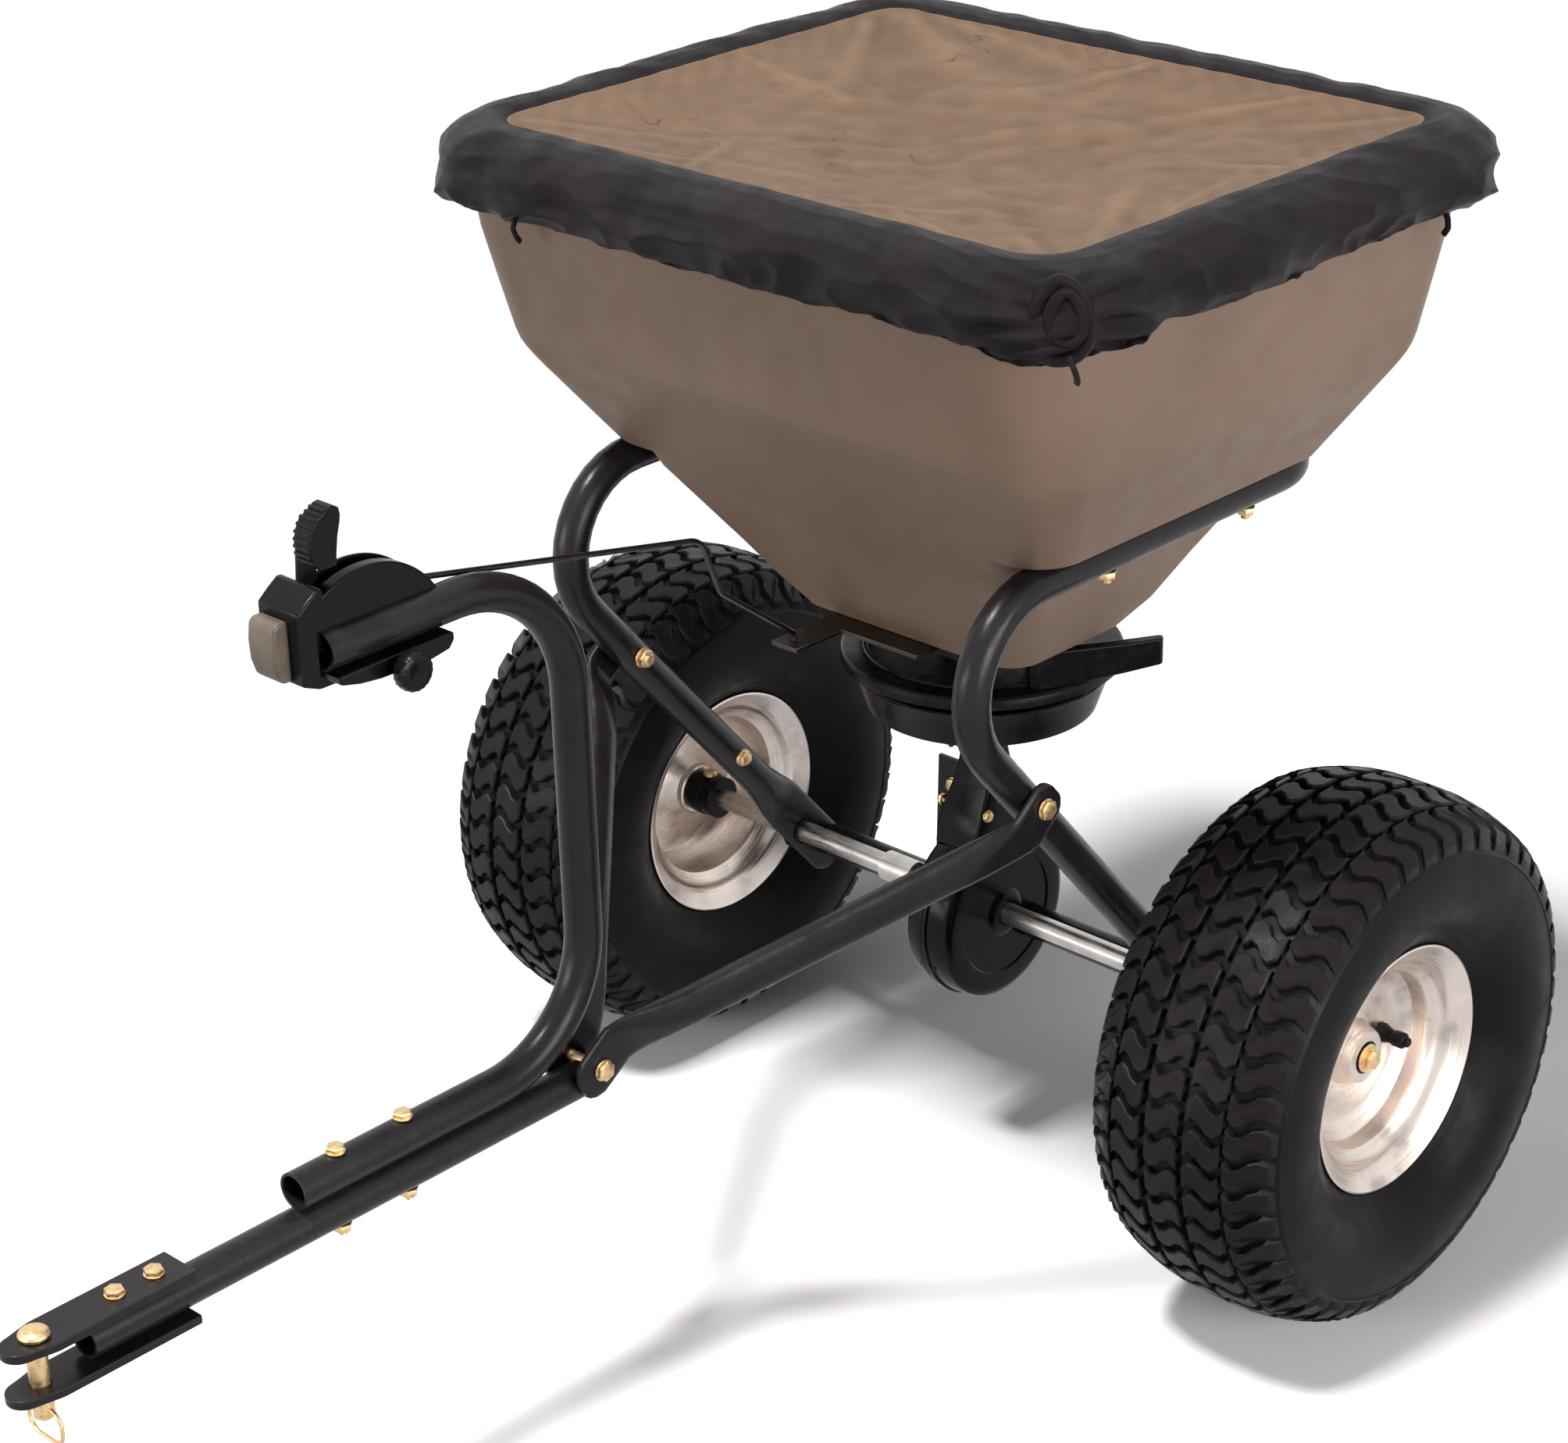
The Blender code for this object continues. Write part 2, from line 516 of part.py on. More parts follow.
# Shield above the spinner, with swept side wings, hung from the guide on two posts.
shield_z = 0.400
shield = turn("spinner_shield", [(shield_z, 0.0125), (shield_z, 0.098), (shield_z - 0.006, 0.100),
                                 (shield_z - 0.006, 0.1025), (shield_z + 0.003, 0.1010),
                                 (shield_z + 0.003, 0.0125)], "Z", 24, BLACK_PLASTIC)
wing = [(0.0800, -0.0360), (0.0840, -0.0380), (0.1050, -0.0080), (0.1320, 0.0380), (0.1285, 0.0445),
        (0.1000, -0.0040)]
for side, sign in (("left", -1), ("right", 1)):
    outline = [(sign * x, y) for x, y in wing]
    fin = prism("shield_wing_" + side, outline if sign > 0 else outline[::-1], "Z", shield_z + 0.001,
                0.430, None)
    join_or_cut(shield, fin, "UNION")
    post = block("shield_post_" + side, (sign * 0.040 - 0.004, sign * 0.040 + 0.004), (0.004, 0.020),
                 (shield_z + 0.001, 0.4255 - GAP), None)
    join_or_cut(shield, post, "UNION")
mouth = block("shield_mouth", (-0.031, 0.031), (-0.066, -0.022), (shield_z - 0.01, shield_z + 0.01), None)
join_or_cut(shield, mouth, "DIFFERENCE")

# Drive line on the axle: everything here turns with the left wheel.
axle_line = joint_empty("axle_axis", (0, 0, AXLE_Z))
end = AXLE_LENGTH / 2
axle_r = AXLE_D / 2
axle = turn("axle", [(-end, 0.0043), (-end, axle_r - 0.001), (-end + 0.001, axle_r), (end - 0.001, axle_r),
                     (end, axle_r - 0.001), (end, 0.0043), (end - 0.014, 0.0043), (end - 0.014, 0),
                     (-end + 0.014, 0), (-end + 0.014, 0.0043)], "X", 14, STEEL, parent=axle_line)
drive_pin_x = 0.0330 - WHEEL_X
drill(axle, [((drive_pin_x, 0, -0.03), (drive_pin_x, 0, 0.03), 0.0029)])

tread_bands = (0.0120, 0.0260, 0.0600)
crown_r = TYRE_D / 2 - TREAD_DEPTH


def tread_radius(x):
    return crown_r - 0.0100 * (max(0, x - tread_bands[0]) / 0.048) ** 2


bead_r = BEAD_SEAT_D / 2 + 0.0005
bead_x = RIM_WIDTH / 2 - 0.0038
tyre_half = TYRE_WIDTH / 2


def wall_radius(share):
    return RIM_FLANGE_D / 2 + share * (crown_r - RIM_FLANGE_D / 2)


tyre_side = [(tyre_half - 0.0050, wall_radius(0.742)), (tyre_half, wall_radius(0.490)),
             (tyre_half - 0.0135, wall_radius(0.101)), (bead_x, wall_radius(0.006)), (bead_x, bead_r),
             (bead_x - 0.0122, bead_r), (tyre_half - 0.0215, wall_radius(0.143)),
             (tyre_half - 0.0070, wall_radius(0.469)), (tyre_half - 0.0175, wall_radius(0.800))]
half_tyre = [(x, tread_radius(x)) for x in tread_bands] + tyre_side
tyre_profile = half_tyre + [(-x, r) for x, r in reversed(half_tyre)]
tyre_steps = 32


def tyre(name, parent, at_x):
    made = turn(name, tyre_profile, "X", tyre_steps, RUBBER, parent=parent)
    bm = bmesh.new()
    bm.from_mesh(made.data)
    bands = (0.0, 0.0430, -0.0430)
    lugs = []
    for face in bm.faces:
        centre = face.calc_center_median()
        radius = math.hypot(centre.y, centre.z)
        if radius < crown_r - 0.0125 or face.normal.dot(Vector((0, centre.y, centre.z))) <= 0:
            continue
        near = min(bands, key=lambda b: abs(b - centre.x))
        if abs(near - centre.x) > 0.003:
            continue
        step = int(round((math.atan2(centre.z, centre.y) / math.tau * tyre_steps) - 0.5))
        if (step + (near != 0)) % 2 == 0:
            lugs.append(face)
    for face in lugs:
        raised = bmesh.ops.extrude_discrete_faces(bm, faces=[face])["faces"][0]
        for vert in raised.verts:
            reach = math.hypot(vert.co.y, vert.co.z)
            vert.co.y *= (reach + TREAD_DEPTH) / reach
            vert.co.z *= (reach + TREAD_DEPTH) / reach
    bm.to_mesh(made.data)
    bm.free()
    made.location = (at_x, 0, 0)
    return made


rim_half = RIM_WIDTH / 2
flange_r = RIM_FLANGE_D / 2
seat_r = BEAD_SEAT_D / 2


def rim(name, parent, at_x, outward):
    """Barrel with two flanges, and a dished disc with a hub tube; outward is the side of the dish."""
    profile = [(rim_half, flange_r), (0.0532, flange_r), (0.0526, seat_r), (0.0400, seat_r),
               (0.0330, 0.0660), (-0.0330, 0.0660), (-0.0400, seat_r), (-0.0526, seat_r),
               (-0.0532, flange_r), (-rim_half, flange_r), (-0.0550, 0.0732),
               (-0.0410, 0.0732), (-0.0345, 0.0635), (0.0090, 0.0635), (0.0080, 0.0190),
               (-0.0200, 0.0190), (-0.0200, HUB_BORE_D / 2), (0.0300, HUB_BORE_D / 2), (0.0300, 0.0175),
               (0.0150, 0.0230), (0.0160, 0.0520), (0.0230, 0.0635), (0.0345, 0.0635), (0.0410, 0.0732),
               (0.0550, 0.0732)]
    return turn(name, [(outward * x, r) for x, r in profile], "X", 20, GALVANISED, (at_x, 0, 0), parent)


def valve(name, parent, at_x, outward):
    """A rubber valve stem with its cap, through the disc beside the hub."""
    stem = turn(name, [(-0.006, 0), (-0.006, 0.0055), (0.0, 0.0055), (0.010, 0.0040), (0.016, 0.0034),
                       (0.016, 0.0042), (0.026, 0.0042), (0.028, 0.0030), (0.028, 0)],
                "Z", 10, RUBBER, parent=parent)
    stem.rotation_euler = (0, outward * math.radians(90), 0)
    stem.location = (at_x + outward * 0.0220, 0.0380, -0.0020)
    return stem


def hub_sleeve(name, parent, at_x, outward):
    """A black bushing in the hub bore with a flange on the inner side of the wheel."""
    bore = axle_r + BORE_GAP
    profile = [(-0.0460, bore), (-0.0460, 0.0165), (-0.0205, 0.0165), (-0.0205, HUB_BORE_D / 2 - GAP),
               (0.0295, HUB_BORE_D / 2 - GAP), (0.0295, bore)]
    return turn(name, [(outward * x, r) for x, r in profile], "X", 12, BLACK_PLASTIC, (at_x, 0, 0), parent)


tyre("drive_tyre", axle_line, -WHEEL_X)
rim("drive_rim", axle_line, -WHEEL_X, -1)
valve("drive_valve_stem", axle_line, -WHEEL_X, -1)
collar = hub_sleeve("drive_hub_collar", axle_line, -WHEEL_X, -1)
drill(collar, [((drive_pin_x, 0, -0.03), (drive_pin_x, 0, 0.03), 0.0029)])
turn("drive_pin", [(-0.0190, 0), (-0.0190, 0.0025), (0.0168, 0.0025), (0.0168, 0.0055), (0.0205, 0.0050),
                   (0.0205, 0)], "Z", 10, ZINC, (drive_pin_x, 0, 0), axle_line)
turn("axle_spacer", [(-0.095, axle_r + BORE_GAP), (-0.095, 0.0115), (-0.065, 0.0115),
                     (-0.065, axle_r + BORE_GAP)], "X", 12, STEEL, parent=axle_line)

free_line = joint_empty("free_wheel_axis", (0, 0, 0), axle_line)
tyre("free_tyre", free_line, WHEEL_X)
rim("free_rim", free_line, WHEEL_X, 1)
valve("free_valve_stem", free_line, WHEEL_X, 1)
hub_sleeve("free_hub_bushing", free_line, WHEEL_X, 1)

for side, sign in (("left", -1), ("right", 1)):
    face = end + GAP
    profile = [(face, 0.0041), (face, 0.0142), (face + 0.0018, 0.0142), (face + 0.0018, 0.0080),
               (face + 0.0080, 0.0074), (face + 0.0080, 0), (face - 0.0125, 0), (face - 0.0125, 0.0040)]
    turn("retaining_bolt_" + side, [(sign * x, r) for x, r in profile], "X", 12, ZINC, parent=axle_line)
    bearing = [(LEG_X - 0.0035, axle_r + BORE_GAP), (LEG_X - 0.0035, 0.0102), (LEG_X + 0.0029, 0.0102),
               (LEG_X + 0.0029, 0.0150), (LEG_X + 0.0060, 0.0150), (LEG_X + 0.0060, axle_r + BORE_GAP)]
    turn("axle_bearing_" + side, [(sign * x, r) for x, r in bearing], "X", 12, BLACK_PLASTIC, (0, 0, AXLE_Z))

# Gear pair: a face gear on the axle drives the spinner's pinion at five to one.
pitch = math.pi * GEAR_MODULE
pinion_r = GEAR_MODULE * PINION_TEETH / 2
crown_mean_r = GEAR_MODULE * CROWN_TEETH / 2
addendum = 0.75 * GEAR_MODULE
dedendum = 1.10 * GEAR_MODULE
tooth = 0.38 * pitch
lean_of_flank = math.tan(math.radians(22))

root_r = pinion_r - dedendum
tip_r = pinion_r + addendum
outline = []
for k in range(PINION_TEETH):
    middle = math.tau * (k + 0.5) / PINION_TEETH
    widths = ((root_r, tooth / 2 / pinion_r * 1.20), (pinion_r, tooth / 2 / pinion_r),
              (tip_r, tooth / 2 / pinion_r * 0.42))
    for radius, spread in widths:
        outline.append((radius * math.cos(middle - spread), radius * math.sin(middle - spread)))
    for radius, spread in reversed(widths):
        outline.append((radius * math.cos(middle + spread), radius * math.sin(middle + spread)))
spin_line = joint_empty("spinner_axis", (0, 0, AXLE_Z + crown_mean_r))
shaft_r = SHAFT_D / 2
pinion = prism("pinion", outline, "Z", -GEAR_FACE / 2, GEAR_FACE / 2, STEEL, spin_line)
drill(pinion, [((0, 0, -0.02), (0, 0, 0.02), shaft_r + BORE_GAP)])

inner_r = crown_mean_r - GEAR_FACE / 2 - 0.0015
outer_r = crown_mean_r + GEAR_FACE / 2 + 0.0015
root_x = pinion_r + dedendum
back_x = root_x + 0.0042
bore = axle_r + BORE_GAP
crown = turn("crown_gear", [(root_x, inner_r), (root_x, outer_r), (back_x, outer_r), (back_x, bore),
                            (root_x + 0.0010, bore), (root_x + 0.0010, inner_r)],
             "X", 24, STEEL, parent=axle_line)
bm = bmesh.new()
root_spread = (tooth / 2 + dedendum * lean_of_flank) / crown_mean_r
tip_spread = (tooth / 2 - addendum * lean_of_flank) / crown_mean_r
for k in range(CROWN_TEETH):
    middle = math.tau * k / CROWN_TEETH
    rings = []
    for x, spread in ((root_x + 0.0005, root_spread), (pinion_r - addendum, tip_spread)):
        corners = ((inner_r + 0.0002, -spread), (outer_r - 0.0008, -spread), (outer_r - 0.0008, spread),
                   (inner_r + 0.0002, spread))
        rings.append([Vector((x, r * math.sin(middle + a), r * math.cos(middle + a))) for r, a in corners])
    bridge(bm, rings)
teeth = to_object("crown_teeth", bm, None, axle_line, smooth=False)
join_or_cut(crown, teeth, "UNION")

turn("spinner_shaft", [(-0.0070, 0), (-0.0070, shaft_r), (0.2015, shaft_r), (0.2025, shaft_r - 0.001),
                       (0.2025, 0)], "Z", 14, STEEL, parent=spin_line)

hub_z = 0.3495 - AXLE_Z - crown_mean_r
pan = [(hub_z, shaft_r + BORE_GAP), (hub_z, 0.016), (hub_z + 0.0075, 0.018), (hub_z + 0.0075, 0.0835),
       (hub_z + 0.0360, 0.0930), (hub_z + 0.0360, 0.0905), (hub_z + 0.0100, 0.0815), (hub_z + 0.0100, 0.0160),
       (hub_z + 0.0250, 0.0140), (hub_z + 0.0250, shaft_r + BORE_GAP)]
disc = turn("spinner_disc", pan, "Z", 24, BLACK_PLASTIC, parent=spin_line)
for k in range(6):
    bm = bmesh.new()
    bmesh.ops.create_cube(bm, size=1)
    bmesh.ops.scale(bm, vec=(0.0640, 0.0026, 0.0180), verts=bm.verts)
    bmesh.ops.translate(bm, vec=(0.0470, 0.004, hub_z + 0.0180), verts=bm.verts)
    bmesh.ops.rotate(bm, verts=bm.verts, cent=(0, 0, 0), matrix=Matrix.Rotation(math.tau * k / 6, 3, "Z"))
    vane = to_object("vane_guide_%d" % k, bm, None, spin_line, smooth=False)
    join_or_cut(disc, vane, "UNION")

floor_top = HOPPER_FLOOR_Z + 0.005 - AXLE_Z - crown_mean_r
agitator = turn("agitator", [(floor_top + 0.001, shaft_r + BORE_GAP), (floor_top + 0.001, 0.0120),
                             (floor_top + 0.010, 0.0105), (floor_top + 0.010, shaft_r + BORE_GAP)],
                "Z", 16, BLACK_PLASTIC, parent=spin_line)
for name, way in (("right", 1), ("left", -1)):
    blade = [(way * 0.009, -0.0035), (way * 0.034, -0.0020), (way * 0.034, 0.0030), (way * 0.009, 0.0035)]
    arm = prism("agitator_arm_" + name, blade[::way], "Z", floor_top + 0.0025, floor_top + 0.0085, None,
                spin_line)
    join_or_cut(agitator, arm, "UNION")

# Gear case: two moulded halves bolted together round the gears, with a tower for the spinner shaft.
tower = [(0.0150, 0.3300), (-0.0160, 0.3300), (-0.0190, 0.3050), (-0.0300, 0.2880), (-0.0360, 0.2640)]
outline = arc((0, AXLE_Z), CASE_R, 113, 427, 20)
left_edge = [(-0.0360, 0.2660), (-0.0290, 0.2900), (-0.0180, 0.3060), (-0.0160, 0.3300)]
right_edge = [(0.0150, 0.3300), (0.0170, 0.3060), (0.0270, 0.2880), (0.0340, 0.2660)]
outline = outline + right_edge[::-1] + left_edge[::-1]
cavity = arc((0, AXLE_Z), CASE_R - 0.0030, 103, 437, 20)
cavity = cavity + [(0.0158, 0.2572), (-0.0158, 0.2572)]
case_bolts = ((-0.0120, 0.3215), (-0.0215, 0.2780))
halves = (("left", CASE_LEFT_X, -GAP / 2, CASE_LEFT_X + 0.0026, 0.01),
          ("right", GAP / 2, CASE_RIGHT_X, -0.01, CASE_RIGHT_X - 0.0026))
for side, low, high, inside_low, inside_high in halves:
    half_case = prism("gear_case_" + side, outline, "X", low, high, BLACK_PLASTIC)
    if side == "left":
        ear = block("case_ear", (-0.0520, CASE_LEFT_X + 0.002), (0.0186, 0.0246), (0.2560, 0.2830), None)
        join_or_cut(half_case, ear, "UNION")
    hollow = prism("case_cavity_" + side, cavity, "X", inside_low, inside_high, None)
    join_or_cut(half_case, hollow, "DIFFERENCE")
    holes = [((-0.04, 0, AXLE_Z), (0.04, 0, AXLE_Z), axle_r + 0.0006),
             ((0, 0, 0.2400), (0, 0, 0.34), shaft_r + 0.0005)]
    for y, z in case_bolts:
        holes.append(((-0.04, y, z), (0.04, y, z), 0.0024))
    if side == "left":
        holes.append(((-0.040, 0.0, 0.2695), (-0.040, 0.04, 0.2695), 0.0035))
    drill(half_case, holes)
for name, (y, z) in zip(("top", "side"), case_bolts):
    bolt("case_bolt_" + name, (CASE_RIGHT_X + GAP, y, z), (CASE_LEFT_X - GAP, y, z), ZINC, shank=0.0021,
         head=0.0046, head_h=0.003, nut_h=0.0035, tail=0.002)

# Slotted bracket that holds the gear case back to the cross tube.
tube_top = CROSS_TUBE[1] + TUBE_R + GAP
web = [(-0.0600, tube_top), (-0.0240, tube_top), (-0.0240, 0.2900), (-0.0560, 0.2900)]
bracket = prism("case_bracket", web, "Y", 0.0153, 0.0183, TUBE_COAT)
foot = block("bracket_foot", (-0.0600, -0.0240), (0.0160, 0.0460), (tube_top, tube_top + 0.003), None)
join_or_cut(bracket, foot, "UNION")
slot = block("bracket_slot", (-0.0475, -0.0325), (0.0, 0.03), (0.2655, 0.2735), None)
join_or_cut(bracket, slot, "DIFFERENCE")
drill(bracket, [((-0.050, CROSS_TUBE[0], 0.17), (-0.050, CROSS_TUBE[0], 0.20), 0.0035)])
bolt("bracket_bolt", (-0.050, CROSS_TUBE[0], tube_top + 0.003 + GAP),
     (-0.050, CROSS_TUBE[0], CROSS_TUBE[1] - TUBE_R - GAP), ZINC, shank=0.0032, head=0.0065)
bolt("slot_bolt", (-0.040, 0.0153 - GAP, 0.2695), (-0.040, 0.0246 + GAP, 0.2695), ZINC, shank=0.0032,
     head=0.0065)

# Flow head on the end of the control tube: a domed housing with a slot on its left for the lever.
dome = [(-0.5000, 0.5630), (-0.4970, 0.6040)] + arc((-0.5540, 0.5950), 0.0430, 30, 138, 8)
dome += [(-0.6010, 0.6170), (-0.6040, 0.6320), (-0.6190, 0.6320), (-0.6190, 0.5790), (-0.5980, 0.5630)]
head = prism("flow_head", dome, "X", -0.0205, 0.0190, BLACK_PLASTIC)
drill(head, [((0, -0.6060, CONTROL_TOP_Z), (0, -0.45, CONTROL_TOP_Z), TUBE_R + GAP)])
slot = block("lever_slot", (-0.0180, -0.0075), (-0.6000, -0.4500), (0.5705, 0.6600), None)
join_or_cut(head, slot, "DIFFERENCE")
pivot_stub = turn("lever_pivot_stub", [(-0.0200, 0), (-0.0200, 0.0028), (-0.0134, 0.0028), (-0.0134, 0)],
                  "X", 12, None, (0, *LEVER_PIVOT))
join_or_cut(head, pivot_stub, "UNION")
cap = [(-0.6195, 0.5850), (-0.6195, 0.6210), (-0.6300, 0.6225), (-0.6345, 0.6140), (-0.6355, 0.6000),
       (-0.6320, 0.5880), (-0.6270, 0.5835)]
prism("head_front_cap", cap, "X", -0.0180, 0.0180, CAP_TAN)

# Flow lever: a slotted arm beside the tube, carrying a ribbed thumb grip over the dome.
lever_axis = joint_empty("flow_lever_axis", (-0.0150, *LEVER_PIVOT))
forward = LEVER_SWING / 2
half_arm = 0.0070


def on_lever(radius, offset):
    """A point of the lever arm at rest: distance up the arm, offset towards the rear."""
    y = -radius * math.sin(forward) + offset * math.cos(forward)
    z = radius * math.cos(forward) + offset * math.sin(forward)
    return y, z


arm = [on_lever(0.0, half_arm), on_lever(0.0560, half_arm), (-0.0170, 0.0640), (-0.0170, 0.0730),
       (-0.0300, 0.0730), on_lever(0.0600, -half_arm), on_lever(0.0, -half_arm)]
arm += [on_lever(-half_arm * math.sin(math.radians(a)), -half_arm * math.cos(math.radians(a)))
        for a in (30, 60, 90, 120, 150)]
lever = prism("flow_lever", arm, "X", -0.0015, 0.0015, BLACK_PLASTIC, lever_axis)
grip = [(-0.0165, 0.0665), (-0.0170, 0.0760), (-0.0200, 0.0900), (-0.0160, 0.1030), (-0.0215, 0.1045),
        (-0.0345, 0.0960), (-0.0390, 0.0820), (-0.0360, 0.0700), (-0.0290, 0.0665)]
grip_block = prism("lever_grip", grip, "X", 0.0060, 0.0240, None, lever_axis)
join_or_cut(lever, grip_block, "UNION")
neck = prism("lever_neck", [(-0.0180, 0.0668), (-0.0180, 0.0725), (-0.0295, 0.0725), (-0.0285, 0.0668)], "X",
             -0.0010, 0.0100, None, lever_axis)
join_or_cut(lever, neck, "UNION")
pin_slot_low = LEVER_PIN_R * math.cos(forward)
slot_outline = [on_lever(pin_slot_low - 0.0040, 0.0028), on_lever(LEVER_PIN_R + 0.0040, 0.0028),
                on_lever(LEVER_PIN_R + 0.0040, -0.0028), on_lever(pin_slot_low - 0.0040, -0.0028)]
pin_slot = prism("lever_pin_slot", slot_outline, "X", -0.01, 0.01, None, lever_axis)
join_or_cut(lever, pin_slot, "DIFFERENCE")
drill(lever, [((-0.01, 0, 0), (0.01, 0, 0), 0.0032)])

# Stop knob on the right of the head, with its stud in the housing.
knob_at = (0.0190 + GAP, -0.5450, 0.5720)
knob_axis = joint_empty("stop_knob_axis", knob_at)
drill(head, [((0.010, *knob_at[1:]), (0.030, *knob_at[1:]), 0.0033)])
turn("stop_knob", [(-0.0050, 0), (-0.0050, 0.0030), (0, 0.0030), (0, 0.0090), (0.0030, 0.0140),
                   (0.0100, 0.0150), (0.0140, 0.0120), (0.0150, 0.0080), (0.0150, 0)],
     "X", 16, BLACK_PLASTIC, parent=knob_axis)

# Shutter plate, and the rod that the lever pulls it with.
plate_low = channel_z + GAP
plate_top = HOPPER_FLOOR_Z - 0.0005
plate = [(-0.0640, -0.1500), (-0.0400, -0.1500), (-0.0400, -0.1040), (0.0300, -0.1040), (0.0300, -0.0635),
         (-0.0640, -0.0635)]
shutter = prism("shutter_plate", plate, "Z", plate_low, plate_top, STEEL)
drill(shutter, [((-0.0520, -0.1400, 0.42), (-0.0520, -0.1400, 0.45), 0.0025)])
rod_z = LEVER_PIVOT[1] + pin_slot_low
rod_y = LEVER_PIVOT[0] - pin_slot_low * math.tan(forward)
corners = [(-0.0176, rod_y, rod_z), (-0.0105, rod_y, rod_z), (-0.0105, -0.5100, 0.6105),
           (-0.0180, -0.2600, 0.5560), (-0.0320, -0.2300, 0.5050), (-0.0520, -0.1400, 0.4405),
           (-0.0520, -0.1400, 0.4280)]
rod = rounded(corners, [0.0030, 0.0300, 0.0250, 0.0250, 0.0045], 4)
tube("flow_rod", rod, STEEL, radius=0.0020, sides=6, side=(0, 0, 1))
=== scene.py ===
import math

import bmesh
import bpy
from mathutils import Matrix, Vector, noise


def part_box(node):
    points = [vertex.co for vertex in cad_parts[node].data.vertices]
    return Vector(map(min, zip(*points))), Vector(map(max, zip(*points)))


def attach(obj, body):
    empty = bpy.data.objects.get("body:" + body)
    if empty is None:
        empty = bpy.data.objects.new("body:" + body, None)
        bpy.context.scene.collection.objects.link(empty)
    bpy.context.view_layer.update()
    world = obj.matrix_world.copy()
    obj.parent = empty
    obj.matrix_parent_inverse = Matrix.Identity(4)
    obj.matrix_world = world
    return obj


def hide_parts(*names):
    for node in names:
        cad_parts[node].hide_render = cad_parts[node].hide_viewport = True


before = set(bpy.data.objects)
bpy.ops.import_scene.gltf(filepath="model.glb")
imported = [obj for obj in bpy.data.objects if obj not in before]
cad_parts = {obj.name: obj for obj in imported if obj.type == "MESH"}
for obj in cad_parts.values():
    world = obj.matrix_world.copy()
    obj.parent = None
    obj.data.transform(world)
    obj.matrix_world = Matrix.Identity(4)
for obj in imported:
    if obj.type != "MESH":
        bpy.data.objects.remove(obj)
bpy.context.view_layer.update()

# Side tubes, one on each side. Each is a 25 mm steel tube, pressed flat where the axle goes
# through, bent up to the ledge of the hopper and bent again to meet the other one behind it.
# They have a charcoal powder coat.
axle_low, axle_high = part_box("axle")
AXLE = (axle_low + axle_high) / 2
TUBE_R = 0.0127
LEG_X = 0.185
LEG_FOOT = (0.0364, 0.155)
LEG_BOLT = (-0.172, 0.398)
TOP_RUN_Z = 0.548
REAR_RUN_Y = 0.144
CHARCOAL = (0.0125, 0.0105, 0.0135)
CHARCOAL_WORN = (0.034, 0.031, 0.034)


def at(x, y, z):
    """A point by its distance right of the middle, behind the axle line and above the ground."""
    return Vector((x, AXLE.y + y, z))


def new_finish(name, metallic=0.0):
    made = bpy.data.materials.new(name)
    made.use_nodes = True
    nodes = made.node_tree.nodes
    nodes["Principled BSDF"].inputs["Metallic"].default_value = metallic
    return made, nodes, made.node_tree.links, nodes["Principled BSDF"]


def add_node(nodes, kind, setting=None, **values):
    """A shader node with its operation or data type, and its inputs set by name."""
    made = nodes.new("ShaderNode" + kind)
    if setting:
        setattr(made, "data_type" if kind == "Mix" else "operation", setting)
    for name, value in values.items():
        made.inputs[name.replace("_", " ")].default_value = value
    return made


def times(colour, factor):
    return tuple(c * factor for c in colour)


def speckle(nodes, links, scale, detail=2.0, stretch=(1, 1, 1)):
    """A noise value over a piece, finer along the axes that are stretched more."""
    place = add_node(nodes, "TexCoord")
    spread = add_node(nodes, "Mapping", Scale=stretch)
    grain = add_node(nodes, "TexNoise", Scale=scale, Detail=detail)
    links.new(place.outputs["Object"], spread.inputs["Vector"])
    links.new(spread.outputs["Vector"], grain.inputs["Vector"])
    return grain.outputs["Fac"]


def tint(nodes, links, shader, value, shades):
    """Colour a finish along a value; each shade is (where, colour)."""
    ramp = add_node(nodes, "ValToRGB")
    stops = ramp.color_ramp.elements
    while len(stops) < len(shades):
        stops.new(0.5)
    for stop, (where, colour) in zip(stops, shades):
        stop.position = where
        stop.color = (*colour, 1)
    links.new(value, ramp.inputs["Fac"])
    links.new(ramp.outputs["Color"], shader.inputs["Base Color"])
    return ramp.outputs["Color"]


def vary_gloss(nodes, links, shader, value, smooth, rough):
    ranged = add_node(nodes, "MapRange", From_Min=0.30, From_Max=0.70, To_Min=smooth, To_Max=rough)
    links.new(value, ranged.inputs["Value"])
    links.new(ranged.outputs["Result"], shader.inputs["Roughness"])


def emboss(nodes, links, shader, layers):
    """Lay bumps over each other; each layer is (value, height in metres)."""
    last = None
    for value, height in layers:
        bump = add_node(nodes, "Bump", Strength=1.0, Distance=height)
        links.new(value, bump.inputs["Height"])
        if last:
            links.new(last, bump.inputs["Normal"])
        last = bump.outputs["Normal"]
    links.new(last, shader.inputs["Normal"])


def show_wear(nodes, links, shader, fresh, worn, scale, start=0.505, end=0.60):
    """Mix a worn colour into a finish along its raised edges, broken up by a speckle."""
    shape = add_node(nodes, "NewGeometry")
    edge = add_node(nodes, "MapRange", From_Min=start, From_Max=end)
    broken = add_node(nodes, "Math", "MULTIPLY")
    mixed = add_node(nodes, "Mix", "RGBA", B=(*worn, 1))
    links.new(shape.outputs["Pointiness"], edge.inputs["Value"])
    links.new(edge.outputs["Result"], broken.inputs[0])
    links.new(speckle(nodes, links, scale, 5), broken.inputs[1])
    links.new(broken.outputs["Value"], mixed.inputs["Factor"])
    links.new(fresh, mixed.inputs["A"])
    links.new(mixed.outputs["Result"], shader.inputs["Base Color"])


